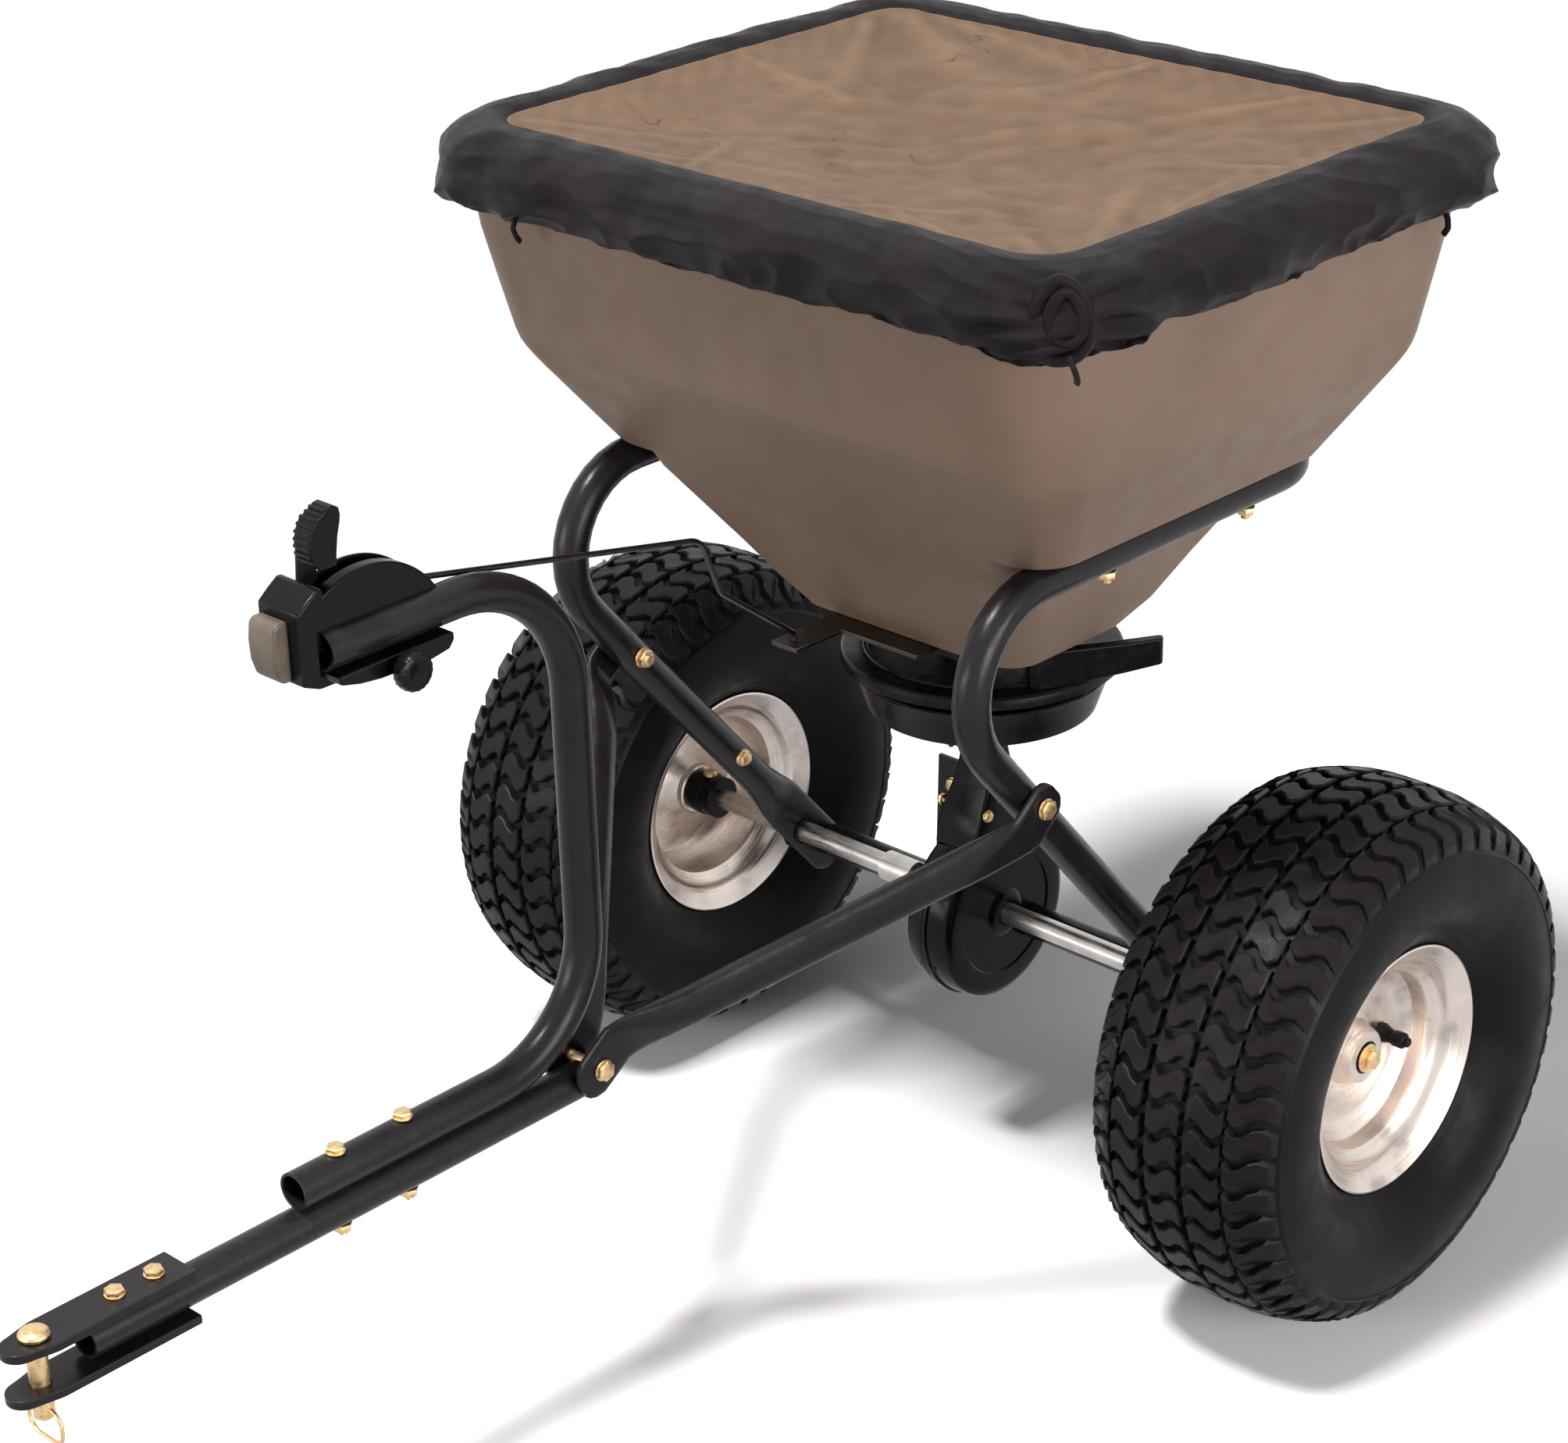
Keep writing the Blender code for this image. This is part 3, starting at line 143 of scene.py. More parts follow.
def powder_coat(name, colour, worn):
    made, nodes, links, shader = new_finish(name)
    shades = [(0.32, times(colour, 0.80)), (0.68, times(colour, 1.25))]
    fresh = tint(nodes, links, shader, speckle(nodes, links, 22, 4), shades)
    show_wear(nodes, links, shader, fresh, worn, 240)
    vary_gloss(nodes, links, shader, speckle(nodes, links, 75, 5), 0.22, 0.36)
    emboss(nodes, links, shader, [(speckle(nodes, links, 620, 2), 0.00007), (speckle(nodes, links, 90, 3), 0.00005)])
    shader.inputs["Specular IOR Level"].default_value = 0.24
    return made


tube_coat = powder_coat("charcoal_powder_coat", CHARCOAL, CHARCOAL_WORN)


def bent_path(corners, radii, steps=12):
    """Round the inner corners of a line as a tube bender does, each with its own radius."""
    path = [corners[0]]
    for before, corner, after, radius in zip(corners, corners[1:], corners[2:], radii):
        back = (before - corner).normalized()
        on = (after - corner).normalized()
        half = back.angle(on) / 2
        centre = corner + (back + on).normalized() * (radius / math.sin(half))
        start = corner + back * (radius / math.tan(half)) - centre
        end = corner + on * (radius / math.tan(half)) - centre
        axis = start.cross(end).normalized()
        for k in range(steps + 1):
            path.append(centre + Matrix.Rotation(start.angle(end) * k / steps, 3, axis) @ start)
    path.append(corners[-1])
    return path


def each_once(things):
    """The things in the order they come, each once; a set would mix them anew in every run."""
    return list(dict.fromkeys(things))


def ring_of_tube(bm, centre, ahead, across, half_across, half_up, press, sides):
    """The edges of one ring across a tube; press above 1 flattens its two broad sides."""
    ring = bmesh.ops.create_circle(bm, segments=sides, radius=1)["verts"]
    for vert in ring:
        vert.co.x = max(-1.0, min(1.0, vert.co.x * press)) * half_across
        vert.co.y *= half_up
    lay = Matrix((across, ahead.cross(across), ahead)).transposed().to_4x4()
    lay.translation = centre
    bmesh.ops.transform(bm, matrix=lay, verts=ring)
    return each_once(edge for vert in ring for edge in vert.link_edges)


def draw_tube(bm, path, sizes, across=Vector((1, 0, 0)), sides=32, closed=False):
    """Skin rings of tube along a path; each size is (half across, half up, press)."""
    rings = []
    last = len(path) - 1
    for i, point in enumerate(path):
        before = path[i - 1] if closed or i > 0 else point
        after = path[(i + 1) % len(path)] if closed or i < last else point
        ahead = ((after - point).normalized() + (point - before).normalized()).normalized()
        across = (across - ahead * across.dot(ahead)).normalized()
        rings.append(ring_of_tube(bm, point, ahead, across, *sizes[i], sides))
    for low, high in zip(rings, rings[1:]):
        bmesh.ops.bridge_loops(bm, edges=low + high)
    if closed:
        bmesh.ops.bridge_loops(bm, edges=rings[-1] + rings[0])
    return rings[0], rings[-1]


def close_end(bm, ring):
    return bmesh.ops.contextual_create(bm, geom=ring)["faces"][0]


def open_end(bm, ring, inward, wall=0.0020, depth=0.030):
    """End a tube with its cut edge and the bore behind it."""
    face = close_end(bm, ring)
    bmesh.ops.inset_region(bm, faces=[face], thickness=wall, use_even_offset=True)
    pulled = bmesh.ops.extrude_face_region(bm, geom=[face])["geom"]
    bmesh.ops.translate(bm, vec=inward * depth, verts=[v for v in pulled if isinstance(v, bmesh.types.BMVert)])
    if face.is_valid:
        bmesh.ops.delete(bm, geom=[face], context="FACES_ONLY")


def finish_piece(name, bm, look, body, replaces=(), crease=35):
    """Turn a closed mesh into a piece of the spreader that moves with a body."""
    bmesh.ops.remove_doubles(bm, verts=bm.verts, dist=1e-6)
    bmesh.ops.dissolve_degenerate(bm, edges=bm.edges, dist=1e-7)
    bmesh.ops.recalc_face_normals(bm, faces=bm.faces)
    mesh = bpy.data.meshes.new(name)
    bm.to_mesh(mesh)
    bm.free()
    mesh.materials.append(look)
    mesh.shade_smooth()
    mesh.set_sharp_from_angle(angle=math.radians(crease))
    piece = bpy.data.objects.new(name, mesh)
    bpy.context.scene.collection.objects.link(piece)
    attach(piece, body)
    if replaces:
        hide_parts(*replaces)
    return piece


ROUND = (TUBE_R, TUBE_R, 1.0)
for side, sign in (("left", -1), ("right", 1)):
    foot = at(sign * LEG_X, *LEG_FOOT)
    lean = Vector((0, LEG_BOLT[0] - LEG_FOOT[0], LEG_BOLT[1] - LEG_FOOT[1])).normalized()
    knee = at(sign * LEG_X, LEG_BOLT[0], LEG_BOLT[1]) + lean * ((TOP_RUN_Z - LEG_BOLT[1]) / lean.z)
    pressed = [(0.0, 0.0025, 0.0080, 1.6), (0.0015, 0.0025, 0.0118, 1.6), (0.0045, 0.0025, 0.0152, 1.6),
               (0.0090, 0.0025, 0.0178, 1.6), (0.0150, 0.0025, 0.0190, 1.6), (0.0840, 0.0025, 0.0190, 1.6),
               (0.0910, 0.0034, 0.0185, 1.5), (0.0990, 0.0058, 0.0173, 1.35), (0.1070, 0.0083, 0.0159, 1.2),
               (0.1150, 0.0105, 0.0146, 1.1), (0.1240, 0.0121, 0.0133, 1.0)]
    rise = bent_path([foot + lean * 0.135, knee, at(sign * LEG_X, REAR_RUN_Y, TOP_RUN_Z),
                      at(sign * 0.00015, REAR_RUN_Y, TOP_RUN_Z)], [0.065, 0.050])
    path = [foot + lean * up for up, _, _, _ in pressed] + rise
    sizes = [size[1:] for size in pressed] + [ROUND] * len(rise)
    bm = bmesh.new()
    for ring in draw_tube(bm, path, sizes):
        close_end(bm, ring)
    finish_piece("side_tube_" + side, bm, tube_coat, "frame", ["frame_tube_" + side], 50)

# Cross tube between the two flattened feet, welded to them and held by the gear case's bracket
# in the middle. Same tube and coat.
for side, inner, outer in (("left", -0.0181, -0.1822), ("right", 0.0231, 0.1822)):
    bm = bmesh.new()
    for ring in draw_tube(bm, [at(inner, 0.030, 0.172), at(outer, 0.030, 0.172)], [ROUND] * 2, Vector((0, 0, 1))):
        close_end(bm, ring)
    finish_piece("cross_brace_" + side, bm, tube_coat, "frame", ["cross_tube_" + side], 50)

# Braces from the sides of the tongue out to the legs. Tube again, with both ends pressed flat and
# rounded, and a bolt through each.
BRACE_PATH = [(0.0155, -0.4215, 0.2232), (0.0155, -0.4200, 0.2241), (0.0155, -0.4165, 0.2262),
              (0.0155, -0.4110, 0.2296), (0.0155, -0.3880, 0.2455), (0.0185, -0.3828, 0.2490),
              (0.0235, -0.3768, 0.2532), (0.0300, -0.3698, 0.2580), (0.0380, -0.3620, 0.2636),
              (0.0500, -0.3500, 0.2717), (0.1620, -0.2275, 0.3556), (0.1700, -0.2193, 0.3613),
              (0.1780, -0.2111, 0.3672), (0.1860, -0.2029, 0.3732), (0.1930, -0.1960, 0.3785),
              (0.1982, -0.1905, 0.3828), (0.2005, -0.1862, 0.3864), (0.2005, -0.1676, 0.4018),
              (0.2005, -0.1638, 0.4049), (0.2005, -0.1617, 0.4066), (0.2005, -0.1606, 0.4075)]
BRACE_SIZES = [(0.0025, 0.0070, 1.6), (0.0025, 0.0110, 1.6), (0.0025, 0.0152, 1.6), (0.0025, 0.0185, 1.6),
               (0.0025, 0.0188, 1.6), (0.0034, 0.0182, 1.5), (0.0055, 0.0172, 1.35), (0.0082, 0.0158, 1.2),
               (0.0108, 0.0142, 1.1), ROUND, ROUND, (0.0116, 0.0135, 1.05), (0.0098, 0.0144, 1.15),
               (0.0074, 0.0154, 1.25), (0.0048, 0.0163, 1.4), (0.0032, 0.0168, 1.5), (0.0025, 0.0171, 1.6),
               (0.0025, 0.0168, 1.6), (0.0025, 0.0140, 1.6), (0.0025, 0.0104, 1.6), (0.0025, 0.0066, 1.6)]
for side, sign in (("left", -1), ("right", 1)):
    path = [at(sign * x, y, z) for x, y, z in BRACE_PATH]
    bm = bmesh.new()
    for ring in draw_tube(bm, path, BRACE_SIZES):
        close_end(bm, ring)
    finish_piece("tongue_brace_" + side, bm, tube_coat, "frame", ["brace_" + side], 50)

# Tongue: a straight tube from between the braces to the hitch, cut square and open at both ends.
# It is the same steel tube as the rest of the frame, with the same coat.
TONGUE_Z = 0.222
bm = bmesh.new()
front, rear = draw_tube(bm, [at(0, -0.812, TONGUE_Z), at(0, -0.388, TONGUE_Z)], [ROUND] * 2)
open_end(bm, front, Vector((0, 1, 0)))
open_end(bm, rear, Vector((0, -1, 0)))
finish_piece("tongue", bm, tube_coat, "frame", ["tongue_tube"], 50)

# Control tube: lies on the tongue, rises in front of the hopper and ends level in the flow head.
# Its front end is cut square and open.
LOW_RUN_Z = TONGUE_Z + 0.0257
CONTROL_TOP_Z = 0.593
path = bent_path([at(0, -0.650, LOW_RUN_Z), at(0, -0.398, LOW_RUN_Z), at(0, -0.398, CONTROL_TOP_Z),
                  at(0, -0.5930, CONTROL_TOP_Z)], [0.085, 0.090], 16)
bm = bmesh.new()
front, top = draw_tube(bm, path, [ROUND] * len(path))
open_end(bm, front, Vector((0, 1, 0)))
open_end(bm, top, Vector((0, 1, 0)))
finish_piece("control_post", bm, tube_coat, "frame", ["control_tube"], 50)

# Hitch straps: two 6 mm steel plates above and below the end of the tongue, with a rounded nose
# and a hole for the pin, sheared and drilled, then coated with the frame.
HITCH_PIN_Y = -0.845


def cut_plate(bm, outline, holes, low, high):
    """A flat plate on XY between two heights; a hole is (x, y, radius) or an outline of points."""
    known = set(bm.faces)
    known_verts = set(bm.verts)
    rim = []
    for line in [outline] + [hole for hole in holes if isinstance(hole, list)]:
        verts = [bm.verts.new((x, y, low)) for x, y in line]
        rim += [bm.edges.new((verts[i - 1], verts[i])) for i in range(len(verts))]
    for x, y, radius in [hole for hole in holes if isinstance(hole, tuple)]:
        circle = bmesh.ops.create_circle(bm, segments=32, radius=radius, matrix=Matrix.Translation((x, y, low)))
        rim += each_once(edge for vert in circle["verts"] for edge in vert.link_edges)
    bmesh.ops.triangle_fill(bm, edges=rim, use_beauty=True)
    faces = [face for face in bm.faces if face not in known]
    bmesh.ops.dissolve_limit(bm, angle_limit=0.01, verts=each_once(v for f in faces for v in f.verts),
                             edges=each_once(e for f in faces for e in f.edges), delimit=set())
    faces = [face for face in bm.faces if face not in known]
    pulled = bmesh.ops.extrude_face_region(bm, geom=faces)["geom"]
    bmesh.ops.translate(bm, vec=(0, 0, high - low), verts=[v for v in pulled if isinstance(v, bmesh.types.BMVert)])
    return [vert for vert in bm.verts if vert not in known_verts]


def arc(x, y, radius, start, end, steps):
    turns = [math.radians(start + (end - start) * k / steps) for k in range(steps + 1)]
    return [(x + radius * math.cos(a), y + radius * math.sin(a)) for a in turns]


def soften(piece, width, segments=2, angle=32):
    """Round the edges of a piece, as tumbling or a moulding tool leaves them."""
    edge = piece.modifiers.new("edge", "BEVEL")
    edge.width = width
    edge.segments = segments
    edge.limit_method = "ANGLE"
    edge.angle_limit = math.radians(angle)
    edge.harden_normals = False
    return piece


nose = [(-0.016, -0.738), (0.016, -0.738), (0.016, -0.8385), (0.0150, -0.8440), (0.0130, -0.8520)]
nose += arc(0, -0.856, 0.0120, -12, -168, 18) + [(-0.0130, -0.8520), (-0.0150, -0.8440), (-0.016, -0.8385)]
for name, low in (("upper", 0.2350), ("lower", 0.2030)):
    bm = bmesh.new()
    outline = [(x, AXLE.y + y) for x, y in nose]
    cut_plate(bm, outline, [(0, AXLE.y + HITCH_PIN_Y, 0.0069)], low, low + 0.006)
    plate = finish_piece("hitch_plate_" + name, bm, tube_coat, "frame", ["hitch_strap_" + name], 30)
    soften(plate, 0.0006)

# Hexagon bolts with their nuts, all yellow zinc plated, through the joints of the frame. The thread
# shows beyond the nut. A short screw sits on the inner side of each leg.
ZINC_YELLOW = (0.82, 0.62, 0.34)


def zinc_plate(name, colour):
    made, nodes, links, shader = new_finish(name, 1.0)
    darker = (colour[0] * 0.72, colour[1] * 0.66, colour[2] * 0.60)
    redder = (colour[0] * 1.10, colour[1] * 0.88, colour[2] * 0.95)
    tint(nodes, links, shader, speckle(nodes, links, 260, 4), [(0.30, darker), (0.50, colour), (0.72, redder)])
    vary_gloss(nodes, links, shader, speckle(nodes, links, 420, 4), 0.30, 0.52)
    emboss(nodes, links, shader, [(speckle(nodes, links, 900, 3), 0.00006)])
    return made


bolt_zinc = zinc_plate("yellow_zinc", ZINC_YELLOW)


def facing(way, place):
    """A placement that turns Z to a direction."""
    lay = Vector(way).to_track_quat("Z", "Y").to_matrix().to_4x4()
    lay.translation = place
    return lay


def prism_on(bm, lay, low, high, radius, sides, chamfer):
    """A prism between two heights along a bolt, with its outer rim chamfered."""
    depth = high - low
    middle = lay @ Matrix.Translation((0, 0, (low + high) / 2))
    made = bmesh.ops.create_cone(bm, cap_ends=True, segments=sides, radius1=radius, radius2=radius, depth=depth,
                                 matrix=middle)["verts"]
    if chamfer:
        rims = [edge for edge in each_once(e for v in made for e in v.link_edges)
                if all(len(v.link_edges) == 3 for v in edge.verts)
                and any(len(f.verts) == sides for f in edge.link_faces)]
        bmesh.ops.bevel(bm, geom=rims, offset=chamfer, offset_type="OFFSET", segments=2, profile=0.5,
                        affect="EDGES", material=-1, clamp_overlap=True)


def thread_on(bm, lay, low, high, radius, pitch=0.0009):
    """Rolled thread between two heights, drawn as ridges."""
    turns = max(2, int((high - low) / pitch))
    profile = [(low, 0.0), (low, radius - 0.0003)]
    for k in range(turns):
        start = low + (high - low) * k / turns
        profile += [(start + (high - low) / turns * 0.5, radius), (start + (high - low) / turns, radius - 0.0003)]
    profile += [(high, 0.0)]
    verts = [bm.verts.new(lay @ Vector((r, 0, h))) for h, r in profile]
    edges = [bm.edges.new(pair) for pair in zip(verts, verts[1:])]
    axis = (lay.to_3x3() @ Vector((0, 0, 1))).normalized()
    bmesh.ops.spin(bm, geom=verts + edges, cent=lay.translation, axis=axis, angle=math.tau, steps=14, use_merge=True)


def hex_bolt(name, node, axis, way, shank=0.004, head_h=0.0045, nut_h=0.0055, tail=0.003, turn=0.0):
    """A bolt in the place of its node; way is +1 where it points from its head along the axis."""
    low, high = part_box(node)
    half = (high - low) / 2
    along = "XYZ".index(axis)
    length = half[along] * 2
    radius = max(half[k] for k in range(3) if k != along)
    forward = Vector([way if k == along else 0 for k in range(3)])
    lay = facing(forward, (low + high) / 2 - forward * (length / 2)) @ Matrix.Rotation(math.radians(turn), 4, "Z")
    bm = bmesh.new()
    prism_on(bm, lay, 0, head_h - 0.0010, radius * 0.97, 6, 0.0007)
    prism_on(bm, lay, head_h - 0.0012, head_h, radius * 1.0, 24, 0.0003)
    nut_low = length - tail - nut_h
    prism_on(bm, lay, head_h - 0.0002, nut_low + 0.0002, shank, 20, 0)
    prism_on(bm, lay, nut_low, nut_low + 0.0010, radius * 0.98, 24, 0.0003)
    prism_on(bm, lay, nut_low + 0.0008, nut_low + nut_h, radius * 0.93, 6, 0.0006)
    thread_on(bm, lay, nut_low + nut_h - 0.0002, length, shank)
    finish_piece(name, bm, bolt_zinc, "frame", [node], 30)


for side, way in (("left", 1), ("right", -1)):
    hex_bolt("brace_screw_" + side, "brace_bolt_" + side, "X", way, turn=12 * way)
    for end in ("front", "rear"):
        node = "hopper_bolt_%s_%s" % (end, side)
        hex_bolt("ledge_screw_%s_%s" % (end, side), node, "Z", -1, shank=0.0032, turn=20)
hex_bolt("tongue_screw", "brace_tongue_bolt", "X", -1, turn=8)
for name, sign in (("leg_screw_left", -1), ("leg_screw_right", 1)):
    lay = facing((-sign, 0, 0), at(sign * (LEG_X - TUBE_R), -0.0734, 0.2830))
    bm = bmesh.new()
    prism_on(bm, lay, -0.0030, 0.0012, 0.0065, 24, 0.0003)
    prism_on(bm, lay, 0.0010, 0.0046, 0.0052, 6, 0.0006)
    finish_piece(name, bm, bolt_zinc, "frame", (), 30)
for end in ("front", "rear"):
    hex_bolt("control_screw_" + end, "control_bolt_" + end, "Z", -1, shank=0.0032, turn=15)
    hex_bolt("hitch_screw_" + end, "hitch_bolt_" + end, "Z", -1, shank=0.0032, turn=-10)

# Hitch pin and its ring clip: a turned pin with a domed head, drilled across near its end, and a
# spring wire loop through the hole. Both yellow zinc plated.
PIN_R = 0.0065


def turn_profile(bm, profile, centre, axis, steps=48, closed=True):
    """Turn a line of (along, radius) points about an axis, as on a lathe."""
    axis = Vector(axis)
    out = axis.orthogonal().normalized()
    verts = [bm.verts.new(centre + axis * along + out * radius) for along, radius in profile]
    pairs = list(zip(verts, verts[1:]))
    if closed:
        pairs.append((verts[-1], verts[0]))
    edges = [bm.edges.new(pair) for pair in pairs]
    bmesh.ops.spin(bm, geom=verts + edges, cent=centre, axis=axis, angle=math.tau, steps=steps, use_merge=True)


bm = bmesh.new()
turn_profile(bm, [(0.1850, 0), (0.1850, 0.0050), (0.1864, PIN_R), (0.2412, PIN_R), (0.2412, 0.0086),
                  (0.2420, 0.0095), (0.2436, 0.0097), (0.2452, 0.0088), (0.2463, 0.0068), (0.2468, 0.0035),
                  (0.2468, 0)],
             at(0, HITCH_PIN_Y, 0), (0, 0, 1), 48, closed=False)
finish_piece("drawbar_pin", bm, bolt_zinc, "hitch_pin_body", ["hitch_pin"], 35)
clip_path = []
for u, v, start in ((0.0070, -0.0095, 90), (0.0070, -0.0130, 0), (-0.0070, -0.0130, -90), (-0.0070, -0.0095, -180)):
    clip_path += [at(x, HITCH_PIN_Y, 0.1925 + z) for x, z in arc(u, v, 0.0095, start, start - 90, 7)]
bm = bmesh.new()
draw_tube(bm, clip_path, [(0.0013, 0.0013, 1.0)] * len(clip_path), Vector((0, 1, 0)), 12, True)
finish_piece("wire_clip", bm, bolt_zinc, "ring_clip_body", ["ring_clip"], 60)

# Hopper: one blow of rotomoulded polyethylene, 4 to 5 mm thick, with steep walls, a soft crease, a
# funnel and a rolled lip. It sits with two ledges on the side tubes.
HOPPER_Y = -0.020
TAUPE = (0.275, 0.191, 0.140)
HOPPER_OUTER = [(0.4350, 0.1030, 0.0650, 0.025), (0.4570, 0.1218, 0.0805, 0.028), (0.4880, 0.1385, 0.1024, 0.030),
                (0.5450, 0.1712, 0.1427, 0.030), (0.5590, 0.1718, 0.1526, 0.030), (0.5608, 0.1722, 0.1538, 0.030),
                (0.5610, 0.1740, 0.1540, 0.030), (0.5611, 0.2010, 0.1541, 0.033), (0.5615, 0.2040, 0.1543, 0.034),
                (0.5900, 0.2215, 0.1745, 0.038), (0.6210, 0.2405, 0.1963, 0.042), (0.6270, 0.2440, 0.2003, 0.043),
                (0.6325, 0.2469, 0.2038, 0.044), (0.6385, 0.2492, 0.2071, 0.045), (0.6450, 0.2508, 0.2094, 0.046),
                (0.6800, 0.2564, 0.2194, 0.051), (0.7210, 0.2630, 0.2310, 0.058), (0.7635, 0.2680, 0.2360, 0.060),
                (0.7645, 0.2695, 0.2375, 0.062), (0.7650, 0.2760, 0.2440, 0.067), (0.7670, 0.2775, 0.2455, 0.068),
                (0.7700, 0.2780, 0.2460, 0.069), (0.7735, 0.2770, 0.2450, 0.068), (0.7750, 0.2745, 0.2425, 0.066)]
HOPPER_INNER = [(0.7750, 0.2670, 0.2350, 0.060), (0.7735, 0.2645, 0.2325, 0.056), (0.7690, 0.2640, 0.2320, 0.056),
                (0.7210, 0.2588, 0.2268, 0.054), (0.6450, 0.2466, 0.2052, 0.042), (0.6325, 0.2425, 0.1996, 0.040),
                (0.5665, 0.1990, 0.1530, 0.030), (0.5655, 0.1672, 0.1524, 0.026), (0.5450, 0.1665, 0.1377, 0.026),
                (0.4880, 0.1335, 0.0974, 0.026), (0.4400, 0.1005, 0.0635, 0.022)]


def rounded_ring(bm, centre, half_x, half_y, radius, steps=12):
    """The edges of a level rectangle with rounded corners."""
    lay = Matrix.Translation(centre) @ Matrix.Diagonal((half_x, half_y, 1, 1))
    corners = bmesh.ops.create_grid(bm, x_segments=1, y_segments=1, size=1, matrix=lay)["verts"]
    known = set(bm.faces) - set(corners[0].link_faces)
    bmesh.ops.bevel(bm, geom=corners, offset=radius, offset_type="OFFSET", segments=steps, profile=0.5,
                    affect="VERTICES", material=-1, clamp_overlap=False)
    sheet = [face for face in bm.faces if face not in known]
    rim = each_once(edge for face in sheet for edge in face.edges)
    bmesh.ops.delete(bm, geom=sheet, context="FACES_ONLY")
    return rim


def rotomoulded(name, colour):
    made, nodes, links, shader = new_finish(name)
    shades = [(0.30, times(colour, 0.88)), (0.55, colour), (0.75, times(colour, 1.10))]
    fresh = tint(nodes, links, shader, speckle(nodes, links, 7, 6), shades)
    show_wear(nodes, links, shader, fresh, tuple(min(1, c * 1.45) for c in colour), 130, 0.515, 0.66)
    vary_gloss(nodes, links, shader, speckle(nodes, links, 45, 5), 0.46, 0.62)
    emboss(nodes, links, shader, [(speckle(nodes, links, 700, 4), 0.00016), (speckle(nodes, links, 26, 2), 0.0004)])
    shader.inputs["Specular IOR Level"].default_value = 0.42
    return made


hopper_poly = rotomoulded("taupe_polyethylene", TAUPE)
bm = bmesh.new()
rings = [rounded_ring(bm, at(0, HOPPER_Y, z), a, b, r) for z, a, b, r in HOPPER_OUTER + HOPPER_INNER]
for low, high in zip(rings, rings[1:]):
    bmesh.ops.bridge_loops(bm, edges=low + high)
close_end(bm, rings[-1])
close_end(bm, rings[0])
finish_piece("hopper_tub", bm, hopper_poly, "frame", ["hopper"], 32)

# Rain cover: a tan coated cloth panel sewn into a black nylon hem, which a cord gathers under the
# lip of the hopper. Three short ends of the cord show, and the cloth stands up in a bunch at the
# front right corner.
PANEL_A = 0.2475
PANEL_B = 0.2060
PANEL_R = 0.028
PANEL_Z = 0.7895
PANEL_SAG = 0.0180
HEM_LONG = 1.95
HEM_WIDE = 0.115
TAN = (0.262, 0.170, 0.112)
PLUM_BLACK = (0.0072, 0.0038, 0.0066)


def reach_of_round(way_x, way_y, half_x, half_y, radius):
    """How far a ray from the middle goes before it leaves a rounded rectangle."""
    x, y = abs(way_x), abs(way_y)
    straight = min(half_x / x if x > 1e-9 else 1e9, half_y / y if y > 1e-9 else 1e9)
    if x * straight <= half_x - radius + 1e-9 or y * straight <= half_y - radius + 1e-9:
        return straight
    centre_x, centre_y = half_x - radius, half_y - radius
    a = x * x + y * y
    b = -2 * (x * centre_x + y * centre_y)
    c = centre_x ** 2 + centre_y ** 2 - radius ** 2
    return (-b + math.sqrt(max(0.0, b * b - 4 * a * c))) / (2 * a)


def fold(x, y, start, end, width, height):
    """Height of a tension fold along a line, fading towards its end."""
    start, end = Vector(start), Vector(end)
    along = (Vector((x, y)) - start).dot((end - start).normalized()) / (end - start).length
    aside = (Vector((x, y)) - start - (end - start) * along).length
    fade = max(0.0, min(1.0, along * 8 + 0.4)) * max(0.0, 1 - along) ** 0.7 if along < 1 else 0.0
    return height * fade * math.exp(-(aside / (width * (0.35 + 0.9 * max(0, along)))) ** 2)


PANEL_FOLDS = [((-0.236, 0.198), (0.060, 0.030), 0.030, 0.0110), ((-0.236, 0.165), (-0.090, -0.040), 0.018, 0.0070),
               ((-0.190, 0.199), (0.120, 0.130), 0.017, 0.0065), ((0.236, -0.197), (0.030, -0.060), 0.020, 0.0060),
               ((0.239, -0.150), (0.130, 0.040), 0.016, 0.0056), ((-0.238, -0.194), (-0.050, -0.080), 0.019, 0.0060),
               ((-0.150, -0.199), (0.080, -0.120), 0.012, 0.0048), ((0.238, 0.197), (0.070, 0.050), 0.019, 0.0058),
               ((0.150, 0.199), (0.040, 0.050), 0.015, 0.0042), ((-0.239, 0.030), (-0.060, 0.000), 0.017, 0.0046),
               ((0.060, -0.199), (0.170, -0.110), 0.010, 0.0040), ((0.239, 0.050), (0.110, 0.010), 0.013, 0.0040),
               ((0.170, -0.198), (0.020, -0.155), 0.008, 0.0042), ((0.238, -0.090), (0.205, 0.080), 0.008, 0.0040),
               ((-0.060, -0.199), (-0.130, -0.060), 0.011, 0.0036), ((0.010, 0.199), (-0.040, 0.070), 0.013, 0.0040)]


